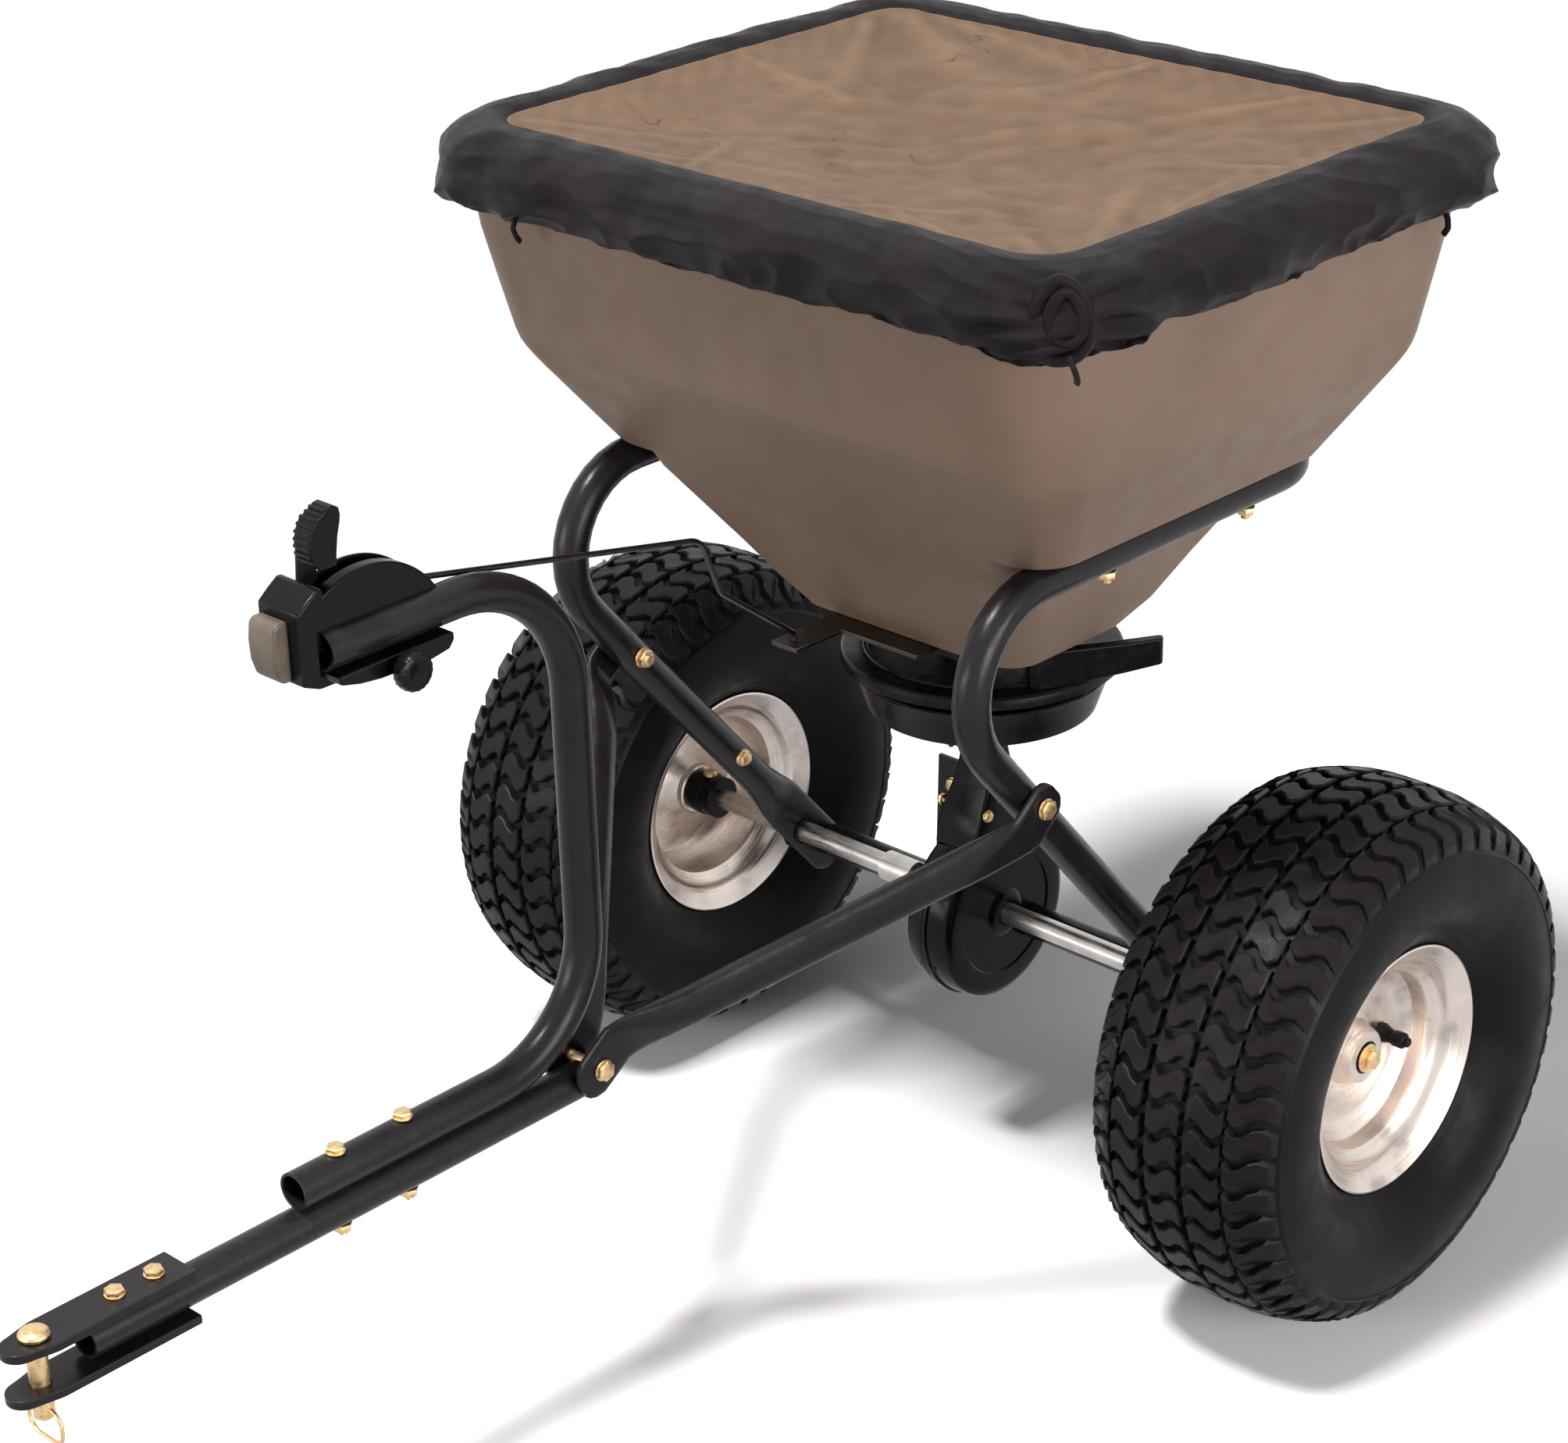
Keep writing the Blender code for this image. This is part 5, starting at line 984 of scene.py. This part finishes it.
# Wheel hubs: a black sleeve in each rim, a washer and a zinc plated bolt in each end of the axle, a
# pin through the left sleeve and the axle, and a rubber valve with its cap in each rim.
VALVE_OUT = 0.0220
VALVE_Y = 0.0380
for name, sleeve, body, sign in (("drive", "drive_hub_collar", "drive_axle", -1),
                                 ("free", "free_hub_bushing", "free_wheel", 1)):
    bm = bmesh.new()
    line = [(-0.0460, 0.0083), (-0.0460, 0.0155), (-0.0452, 0.0165), (-0.0340, 0.0165), (-0.0330, 0.0172),
            (-0.0250, 0.0172), (-0.0240, 0.0165), (-0.0205, 0.0165), (-0.0205, 0.0115), (0.0295, 0.0115),
            (0.0295, 0.0083)]
    turn_profile(bm, [(sign * (WHEEL_X + x), r) for x, r in line], Vector((0, AXLE.y, AXLE.z)), (1, 0, 0), 48)
    finish_piece(name + "_hub_sleeve", bm, black_nylon, body, [sleeve], 30)
    foot = Vector((sign * (WHEEL_X + VALVE_OUT), AXLE.y + VALVE_Y, AXLE.z - 0.0020))
    bm = bmesh.new()
    turn_profile(bm, [(-0.0062, 0), (-0.0062, 0.0070), (-0.0048, 0.0074), (-0.0022, 0.0062), (0.0010, 0.0052),
                      (0.0040, 0.0048), (0.0046, 0.0054), (0.0056, 0.0058), (0.0125, 0.0058), (0.0136, 0.0050),
                      (0.0142, 0.0038), (0.0166, 0.0034), (0.0174, 0.0024), (0.0176, 0)],
                 foot, (sign, 0, 0), 20, closed=False)
    finish_piece(name + "_valve", bm, tyre_black, body, [name + "_valve_stem"], 40)
for side, sign in (("left", -1), ("right", 1)):
    face = AXLE_HALF + 0.0003
    lay = facing((-sign, 0, 0), AXLE + Vector((sign * (face + 0.0080), 0, 0)))
    bm = bmesh.new()
    prism_on(bm, lay, 0, 0.0052, 0.0070, 6, 0.0008)
    prism_on(bm, lay, 0.0050, 0.0063, 0.0081, 28, 0.0004)
    prism_on(bm, lay, 0.0062, 0.0080, 0.0102, 40, 0.0004)
    thread_on(bm, lay, 0.0079, 0.0205, 0.0040)
    finish_piece("hub_screw_" + side, bm, bolt_zinc, "drive_axle", ["retaining_bolt_" + side], 30)
bm = bmesh.new()
turn_profile(bm, [(-0.0190, 0), (-0.0190, 0.0019), (-0.0184, 0.0025), (0.0168, 0.0025), (0.0168, 0.0055),
                  (0.0192, 0.0055), (0.0202, 0.0044), (0.0205, 0.0025), (0.0205, 0)],
             AXLE + Vector((-0.283, 0, 0)), (0, 0, 1), 24, closed=False)
finish_piece("wheel_pin", bm, bolt_zinc, "drive_axle", ["drive_pin"], 30)

# Gears and the spinner's shaft: a face gear on the axle drives a pinion inside the case. They keep
# the shape of their nodes, in machined steel.
gear_steel = bright_steel("machined_steel", (0.46, 0.46, 0.47), "Z")
for node in ("crown_gear", "pinion"):
    for slot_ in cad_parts[node].material_slots:
        slot_.material = gear_steel
shaft_low, shaft_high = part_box("spinner_shaft")
bm = bmesh.new()
turn_profile(bm, [(shaft_low.z, 0), (shaft_low.z, 0.0060), (shaft_high.z - 0.001, 0.0060), (shaft_high.z, 0.0050),
                  (shaft_high.z, 0)], Vector((0, AXLE.y, 0)), (0, 0, 1), 36, closed=False)
finish_piece("spinner_spindle", bm, gear_steel, "spinner", ["spinner_shaft"], 30)

# Gear case: two black mouldings bolted together round the gears, with a flange along the seam and a
# neck up to the spinner. A slotted steel bracket holds it to the cross tube.
case_black = moulded_black("glossy_case_moulding", (0.0032, 0.0032, 0.0045), 0.12, 0.24)
CASE_R = 0.0690
CASE_WALL = 0.0026
BOSS_CIRCLE_R = CASE_R - 0.0052
NECK = [(0.2500, 0.0330, 0.0203), (0.2620, 0.0318, 0.0203), (0.2780, 0.0250, 0.0198), (0.2920, 0.0178, 0.0180),
        (0.3060, 0.0136, 0.0160), (0.3220, 0.0112, 0.0142), (0.3280, 0.0108, 0.0136), (0.3292, 0.0096, 0.0124)]
for side, sign, far in (("left", -1, -0.0178), ("right", 1, 0.0228)):
    near = sign * 0.0003
    line = [(near, CASE_R - 0.0030), (near, CASE_R), (near + sign * 0.0030, CASE_R),
            (near + sign * 0.0036, CASE_R - 0.0018), (far - sign * 0.0055, CASE_R - 0.0024),
            (far - sign * 0.0024, CASE_R - 0.0036), (far - sign * 0.0006, CASE_R - 0.0064),
            (far, CASE_R - 0.0095), (far, 0.0480), (far - sign * 0.0010, 0.0465), (far - sign * 0.0010, 0.0190),
            (far, 0.0176), (far + sign * 0.0010, 0.0150), (far + sign * 0.0012, 0.0142),
            (far + sign * 0.0012, 0.0088), (far - sign * CASE_WALL, 0.0088),
            (far - sign * CASE_WALL, CASE_R - 0.0080), (far - sign * 0.0036, CASE_R - 0.0042),
            (near + sign * 0.0060, CASE_R - 0.0031)]
    bm = bmesh.new()
    turn_profile(bm, line, Vector((0, AXLE.y, AXLE.z)), (1, 0, 0), 96)
    for turn in (205, 250, 290, 335):
        across, up = (f(math.radians(turn)) * BOSS_CIRCLE_R for f in (math.cos, math.sin))
        prism_on(bm, facing((sign, 0, 0), at(0, across, AXLE.z + up)), 0.0003, 0.0070, 0.0046, 16, 0.0006)
    finish_piece("case_half_" + side, bm, case_black, "frame", ["gear_case_" + side], 28)
bm = bmesh.new()
rings = [rounded_ring(bm, at(0.0025, 0, z), half_x, half_y, 0.0035, 5) for z, half_y, half_x in NECK]
for radius, z in ((0.0078, 0.3298), (0.0070, 0.3292), (0.0070, 0.2600)):
    circle = bmesh.ops.create_circle(bm, segments=24, radius=radius, matrix=Matrix.Translation(at(0, 0, z)))["verts"]
    rings.append(each_once(edge for vert in circle for edge in vert.link_edges))
for z in (0.2592, 0.2500):
    rings.append(rounded_ring(bm, at(0.0025, 0, z), 0.0177, 0.0300, 0.0025, 5))
for low, high in zip(rings, rings[1:] + rings[:1]):
    bmesh.ops.bridge_loops(bm, edges=low + high)
block = Matrix.Translation(at(-0.0350, 0.0216, 0.2695)) @ Matrix.Diagonal((0.0340, 0.0058, 0.0270, 1))
bmesh.ops.create_cube(bm, size=1, matrix=block)
finish_piece("case_neck", bm, case_black, "frame", ["gear_case_left"], 30)
dressed_copy("slotted_bracket", "case_bracket", tube_coat, "frame", 0.0005)
for end, turn in (("top", 0.0), ("side", 25)):
    hex_bolt("case_screw_" + end, "case_bolt_" + end, "X", -1, 0.0021, 0.003, 0.0035, 0.002, turn)
hex_bolt("bracket_screw", "bracket_bolt", "Z", -1, shank=0.0032, turn=10)
hex_bolt("slot_screw", "slot_bolt", "Y", 1, shank=0.0032, turn=18)

# Spinner: a black moulded pan with a raised rim and six straight vanes, pressed on the spindle, and
# the agitator inside the hopper.
PAN_Z = 0.3495
bm = bmesh.new()
pan = [(0.0, 0.0063), (0.0, 0.0150), (0.0010, 0.0160), (0.0070, 0.0180), (0.0074, 0.0200), (0.0075, 0.0800),
       (0.0085, 0.0832), (0.0200, 0.0872), (0.0345, 0.0922), (0.0358, 0.0930), (0.0364, 0.0922), (0.0360, 0.0908),
       (0.0210, 0.0850), (0.0112, 0.0815), (0.0100, 0.0790), (0.0100, 0.0170), (0.0110, 0.0158), (0.0235, 0.0142),
       (0.0250, 0.0130), (0.0250, 0.0063)]
turn_profile(bm, [(PAN_Z + z, r) for z, r in pan], Vector((0, AXLE.y, 0)), (0, 0, 1), 84)
finish_piece("spinner_pan", bm, black_nylon, "spinner", ["spinner_disc"], 30)
bm = bmesh.new()
for k in range(6):
    lay = Matrix.Translation(at(0, 0, 0)) @ Matrix.Rotation(math.tau * k / 6, 4, "Z") @ Matrix.Translation(
        (0.0470, 0.004, PAN_Z + 0.0178)) @ Matrix.Diagonal((0.0640, 0.0026, 0.0176, 1))
    bmesh.ops.create_cube(bm, size=1, matrix=lay)
soften(finish_piece("spinner_vanes", bm, black_nylon, "spinner", ["spinner_disc"], 30), 0.0008)
for slot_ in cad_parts["agitator"].material_slots:
    slot_.material = black_nylon

# Flow head: a domed black housing on the end of the control tube, slotted on its left for the lever,
# with a tan cap in front and a stop knob on its right.
head_black = moulded_black("flow_head_moulding", (0.0040, 0.0040, 0.0055), 0.16, 0.30)
ARCH = arc(-0.556, 0.572, 0.0640, 27, 127, 26)
DOME = [(-0.4960, 0.5930)] + ARCH + [(-0.6000, 0.6190), (-0.6060, 0.5930)]
CHEEK = [(-0.4960, 0.5730), (-0.4945, 0.5930)] + ARCH + [
    (-0.6000, 0.6190), (-0.6060, 0.5930), (-0.6060, 0.5760), (-0.5890, 0.5650), (-0.5120, 0.5640)]
SADDLE = [(-0.5920, 0.5800), (-0.5900, 0.5740), (-0.5760, 0.5705), (-0.5600, 0.5686), (-0.5220, 0.5676),
          (-0.5060, 0.5700), (-0.5020, 0.5750), (-0.5020, 0.5800)]
FLOOR = [(-0.6060, 0.5762), (-0.5890, 0.5652), (-0.5120, 0.5642), (-0.5020, 0.5690), (-0.5020, 0.5702),
         (-0.6060, 0.5790)]
COLLAR = [(-0.6192, 0.5832), (-0.6080, 0.5785), (-0.6058, 0.5785), (-0.6058, 0.6170), (-0.6010, 0.6260),
          (-0.5990, 0.6370), (-0.6005, 0.6396), (-0.6040, 0.6398), (-0.6110, 0.6350), (-0.6192, 0.6285)]


def side_plate(bm, outline, holes, low, high):
    """A plate that stands on edge, fore and aft, between two distances to the right of the middle."""
    stand = Matrix(((0, 0, 1, 0), (1, 0, 0, AXLE.y), (0, 1, 0, 0), (0, 0, 0, 1)))
    bmesh.ops.transform(bm, matrix=stand, verts=cut_plate(bm, outline, holes, low, high))


LEVER_PIVOT = (-0.562, 0.579)
bm = bmesh.new()
side_plate(bm, DOME, [], -0.0074, 0.0016)
side_plate(bm, SADDLE, [], -0.0074, 0.0150)
side_plate(bm, COLLAR, [], -0.0205, 0.0165)
soften(finish_piece("flow_housing", bm, head_black, "frame", ["flow_head"], 30), 0.0013, 3)
bm = bmesh.new()
side_plate(bm, CHEEK, [], -0.0205, -0.0182)
side_plate(bm, FLOOR, [], -0.0190, -0.0070)
soften(finish_piece("flow_housing_back", bm, head_black, "frame", ["flow_head"], 30), 0.0006, 2)
bm = bmesh.new()
turn_profile(bm, [(-0.0195, 0), (-0.0195, 0.0029), (-0.0133, 0.0029), (-0.0129, 0.0024), (-0.0129, 0)],
             at(0, *LEVER_PIVOT), (1, 0, 0), 24, closed=False)
finish_piece("lever_stub", bm, head_black, "frame", ["flow_head"], 30)


def tan_cap(name, colour):
    made, nodes, links, shader = new_finish(name)
    fresh = tint(nodes, links, shader, speckle(nodes, links, 60, 5), [(0.30, times(colour, 0.7)), (0.65, colour)])
    show_wear(nodes, links, shader, fresh, times(colour, 0.45), 180)
    vary_gloss(nodes, links, shader, speckle(nodes, links, 150, 4), 0.38, 0.55)
    emboss(nodes, links, shader, [(speckle(nodes, links, 600, 3), 0.00008)])
    return made


cap_poly = tan_cap("tan_end_cap", (0.200, 0.160, 0.125))
CAP = [(-0.6185, 0.5842), (-0.6185, 0.6225), (-0.6262, 0.6228), (-0.6296, 0.6200), (-0.6312, 0.6090),
       (-0.6306, 0.5965), (-0.6276, 0.5872), (-0.6245, 0.5840)]
bm = bmesh.new()
side_plate(bm, CAP, [], -0.0178, 0.0060)
soften(finish_piece("flow_cap", bm, cap_poly, "frame", ["head_front_cap"], 40), 0.0022, 4)

# Flow lever: a slotted arm beside the tube with a ribbed thumb grip over the dome, moulded in black
# plastic. It swings on a stub of the head.
grip_black = moulded_black("lever_moulding", (0.0040, 0.0040, 0.0050), 0.20, 0.34)
LEVER_LEAN = math.radians(25)
RIB_R = 0.0013
GRIP = [(-0.0176, 0.0662), (-0.0170, 0.0740), (-0.0153, 0.0840), (-0.0127, 0.0930), (-0.0122, 0.0965),
        (-0.0130, 0.1010), (-0.0165, 0.1034), (-0.0200, 0.1030), (-0.0248, 0.0998), (-0.0311, 0.0966),
        (-0.0349, 0.0900), (-0.0364, 0.0830), (-0.0359, 0.0760), (-0.0331, 0.0700), (-0.0292, 0.0662)]


def on_lever(up, back):
    """A point of the lever where it stands: distance up the arm, offset towards the hopper."""
    y = LEVER_PIVOT[0] - up * math.sin(LEVER_LEAN) + back * math.cos(LEVER_LEAN)
    return y, LEVER_PIVOT[1] + up * math.cos(LEVER_LEAN) + back * math.sin(LEVER_LEAN)


arm = [on_lever(0.0560, 0.0070), (-0.5790, 0.6435), (-0.5790, 0.6515), (-0.5920, 0.6515), on_lever(0.0600, -0.0070)]
arm += [on_lever(0.0070 * math.sin(math.radians(a)), -0.0070 * math.cos(math.radians(a))) for a in range(0, -181, -15)]
pin_slot = [on_lever(0.0368, 0.0028), on_lever(0.0490, 0.0028), on_lever(0.0490, -0.0028), on_lever(0.0368, -0.0028)]
bm = bmesh.new()
side_plate(bm, arm, [pin_slot, (*LEVER_PIVOT, 0.0033)], -0.0165, -0.0135)
side_plate(bm, [(-0.5800, 0.6458), (-0.5800, 0.6515), (-0.5915, 0.6515), (-0.5905, 0.6458)], [], -0.0160, -0.0070)
side_plate(bm, [(LEVER_PIVOT[0] + y, LEVER_PIVOT[1] + z) for y, z in GRIP], [], -0.0084, 0.0064)
lever = finish_piece("thumb_lever", bm, grip_black, "flow_lever_arm", ["flow_lever"], 25)
soften(lever, 0.0009, 3, 50)
bm = bmesh.new()
for k in range(9):
    place = 7.6 + k * 0.62
    low, high = Vector(GRIP[int(place)]), Vector(GRIP[int(place) + 1])
    y, z = low.lerp(high, place - int(place))
    spot = Matrix.Translation(at(-0.0010, LEVER_PIVOT[0] + y, LEVER_PIVOT[1] + z))
    bmesh.ops.create_cone(bm, cap_ends=True, segments=10, radius1=RIB_R, radius2=RIB_R, depth=0.0138,
                          matrix=spot @ Matrix.Rotation(math.pi / 2, 4, "Y"))
finish_piece("lever_ribs", bm, grip_black, "flow_lever_arm", ["flow_lever"], 40)

# Stop knob: a round knob with a knurled rim on the right of the head, moulded in the same black
# plastic. It sets how far the lever goes.
KNOB = at(0.0193, -0.5450, 0.5720)
bm = bmesh.new()
turn_profile(bm, [(-0.0046, 0), (-0.0046, 0.0030), (0, 0.0030), (0, 0.0095), (0.0012, 0.0112), (0.0030, 0.0126),
                  (0.0085, 0.0130), (0.0108, 0.0121), (0.0120, 0.0098), (0.0122, 0.0070), (0.0115, 0.0052),
                  (0.0113, 0)],
             KNOB, (1, 0, 0), 72, closed=False)
for vert in bm.verts:
    spoke = Vector((0, vert.co.y - KNOB.y, vert.co.z - KNOB.z))
    if spoke.length > 0.0110:
        ripple = 1 - 0.035 * (0.5 + 0.5 * math.cos(18 * math.atan2(spoke.z, spoke.y)))
        vert.co = Vector((vert.co.x, KNOB.y + spoke.y * ripple, KNOB.z + spoke.z * ripple))
finish_piece("limit_knob", bm, head_black, "stop_knob_body", ["stop_knob"], 35)

# Flow rod: a 4 mm rod of blackened steel from the slot of the lever to the shutter, bent at both
# ends.
PIN_RISE = 0.045 * math.cos(LEVER_LEAN)
rod_y = LEVER_PIVOT[0] - PIN_RISE * math.tan(LEVER_LEAN)
rod_z = LEVER_PIVOT[1] + PIN_RISE
path = bent_path([at(-0.0176, rod_y, rod_z), at(-0.0105, rod_y, rod_z), at(-0.0105, -0.5100, 0.6105),
                  at(-0.0180, -0.2600, 0.5560), at(-0.0320, -0.2300, 0.5050), at(-0.0520, -0.1400, 0.4405),
                  at(-0.0520, -0.1400, 0.4280)], [0.0030, 0.0300, 0.0250, 0.0250, 0.0045], 8)
bm = bmesh.new()
for ring in draw_tube(bm, path, [(0.0020, 0.0020, 1.0)] * len(path), Vector((0, 0, 1)), 14):
    close_end(bm, ring)
finish_piece("pull_rod", bm, plate_steel, "shutter", ["flow_rod"], 60)

# Studio floor: white paper that keeps the shadow and fades into a white backdrop, also where the
# object's metal mirrors it.
FLOOR_REACH = 14
PAPER = (0.24, 0.23, 0.22, 1)
PAPER_SEEN = (1.38, 1.39, 1.46, 1)
MIRRORED_PAPER = 0.60
FADE_START = 0.85
FADE_END = 1.55


def background_rays(nodes, links):
    """Values that are 1 for mirror and glass rays, for the camera's own rays, and for any of these."""
    rays = add_node(nodes, "LightPath")
    mirrored = add_node(nodes, "Math", "MAXIMUM")
    seen = add_node(nodes, "Math", "MAXIMUM")
    links.new(rays.outputs["Is Glossy Ray"], mirrored.inputs[0])
    links.new(rays.outputs["Is Transmission Ray"], mirrored.inputs[1])
    links.new(rays.outputs["Is Camera Ray"], seen.inputs[0])
    links.new(mirrored.outputs["Value"], seen.inputs[1])
    return mirrored.outputs["Value"], rays.outputs["Is Camera Ray"], seen.outputs["Value"]


bm = bmesh.new()
level = Matrix.Translation((0, 0, -0.0004))
bmesh.ops.create_circle(bm, cap_ends=True, segments=96, radius=FLOOR_REACH, matrix=level)
mesh = bpy.data.meshes.new("studio_floor")
bm.to_mesh(mesh)
bm.free()
floor = bpy.data.objects.new("studio_floor", mesh)
bpy.context.scene.collection.objects.link(floor)
paper, nodes, links, shader = new_finish("white_paper")
nodes.remove(shader)
diffuse = add_node(nodes, "BsdfDiffuse")
paper_tone = add_node(nodes, "Mix", "RGBA", A=PAPER, B=PAPER_SEEN)
glow = add_node(nodes, "Emission", Color=(0.93, 0.95, 1.0, 1))
strength = add_node(nodes, "Math", "MULTIPLY")
strength.inputs[1].default_value = MIRRORED_PAPER
together = add_node(nodes, "AddShader")
fade = add_node(nodes, "MixShader")
white = add_node(nodes, "Emission", Color=(1, 1, 1, 1))
where = add_node(nodes, "TexCoord")
far = add_node(nodes, "VectorMath", "LENGTH")
edge = add_node(nodes, "MapRange", From_Min=FADE_START, From_Max=FADE_END)
mirrored, by_camera, seen = background_rays(nodes, links)
for source, target in (
        (mirrored, strength.inputs[0]), (by_camera, paper_tone.inputs["Factor"]),
        (paper_tone.outputs["Result"], diffuse.inputs["Color"]), (strength.outputs["Value"], glow.inputs["Strength"]),
        (seen, white.inputs["Strength"]), (diffuse.outputs["BSDF"], together.inputs[0]),
        (glow.outputs["Emission"], together.inputs[1]), (where.outputs["Object"], far.inputs[0]),
        (far.outputs["Value"], edge.inputs["Value"]), (edge.outputs["Result"], fade.inputs["Fac"]),
        (together.outputs["Shader"], fade.inputs[1]), (white.outputs["Emission"], fade.inputs[2]),
        (fade.outputs["Shader"], nodes["Material Output"].inputs["Surface"])):
    links.new(source, target)
mesh.materials.append(paper)

# Air: a weak, slightly blue light from all round. The camera, mirrors and glass see a white backdrop
# in its place.
world = bpy.data.worlds.new("studio_air")
bpy.context.scene.world = world
world.use_nodes = True
nodes = world.node_tree.nodes
links = world.node_tree.links
soft_air = nodes["Background"]
soft_air.inputs["Color"].default_value = (0.95, 0.97, 1.0, 1)
soft_air.inputs["Strength"].default_value = 0.09
backdrop = add_node(nodes, "Background", Color=(1, 1, 1, 1))
pick = add_node(nodes, "MixShader")
_, _, seen = background_rays(nodes, links)
links.new(seen, pick.inputs["Fac"])
links.new(soft_air.outputs["Background"], pick.inputs[1])
links.new(backdrop.outputs["Background"], pick.inputs[2])
links.new(pick.outputs["Shader"], nodes["World Output"].inputs["Surface"])

# Lamps: three soft rectangles, one high in front, one on the right and one low in front, all turned
# to the middle of the object.
AIM = at(0.0, -0.15, 0.40)
for name, place, width, height, power, colour in (
        ("top_lamp", at(-0.6, -2.5, 6.4), 1.1, 1.1, 400, (1.0, 0.97, 0.93)),
        ("side_lamp", at(3.3, -0.4, 0.95), 2.2, 1.3, 74, (1.0, 0.95, 0.92)),
        ("front_lamp", at(-1.2, -3.7, 0.95), 2.2, 1.2, 48, (1.0, 0.93, 0.86))):
    lamp = bpy.data.lights.new(name, "AREA")
    lamp.shape = "RECTANGLE"
    lamp.size = width
    lamp.size_y = height
    lamp.energy = power
    lamp.color = colour
    holder = bpy.data.objects.new(name, lamp)
    holder.location = place
    holder.rotation_euler = (AIM - place).to_track_quat("-Z", "Y").to_euler()
    bpy.context.scene.collection.objects.link(holder)

# Camera: at the photograph's place and angle, about 1.4 m above the ground on the front right, with
# its long lens and its shifted frame.
CAMERA_LENS = 83.289
CAMERA_SHIFT = (-0.0355, 0.03856)
CAMERA_AZIMUTH = math.radians(43.39846)
CAMERA_RISE = math.radians(25.83617)
CAMERA_ROLL = math.radians(-1.18805)
CAMERA_FAR = 2.40072
CAMERA_AIM = at(0.07614, -0.23198, 0.39950)
backward = Vector((math.sin(CAMERA_AZIMUTH) * math.cos(CAMERA_RISE),
                   -math.cos(CAMERA_AZIMUTH) * math.cos(CAMERA_RISE), math.sin(CAMERA_RISE)))
level_right = Vector((math.cos(CAMERA_AZIMUTH), math.sin(CAMERA_AZIMUTH), 0))
level_up = backward.cross(level_right)
right = level_right * math.cos(CAMERA_ROLL) + level_up * math.sin(CAMERA_ROLL)
up = level_up * math.cos(CAMERA_ROLL) - level_right * math.sin(CAMERA_ROLL)
lens = bpy.data.cameras.new("photo_camera")
lens.lens = CAMERA_LENS
lens.sensor_width = 36
lens.sensor_fit = "HORIZONTAL"
lens.shift_x, lens.shift_y = CAMERA_SHIFT
lens.clip_end = 100
camera = bpy.data.objects.new("photo_camera", lens)
turned = Matrix((right, up, backward)).transposed().to_4x4()
turned.translation = CAMERA_AIM + backward * CAMERA_FAR
camera.matrix_world = turned
bpy.context.scene.collection.objects.link(camera)
bpy.context.scene.camera = camera
bpy.context.scene.view_settings.view_transform = "Standard"
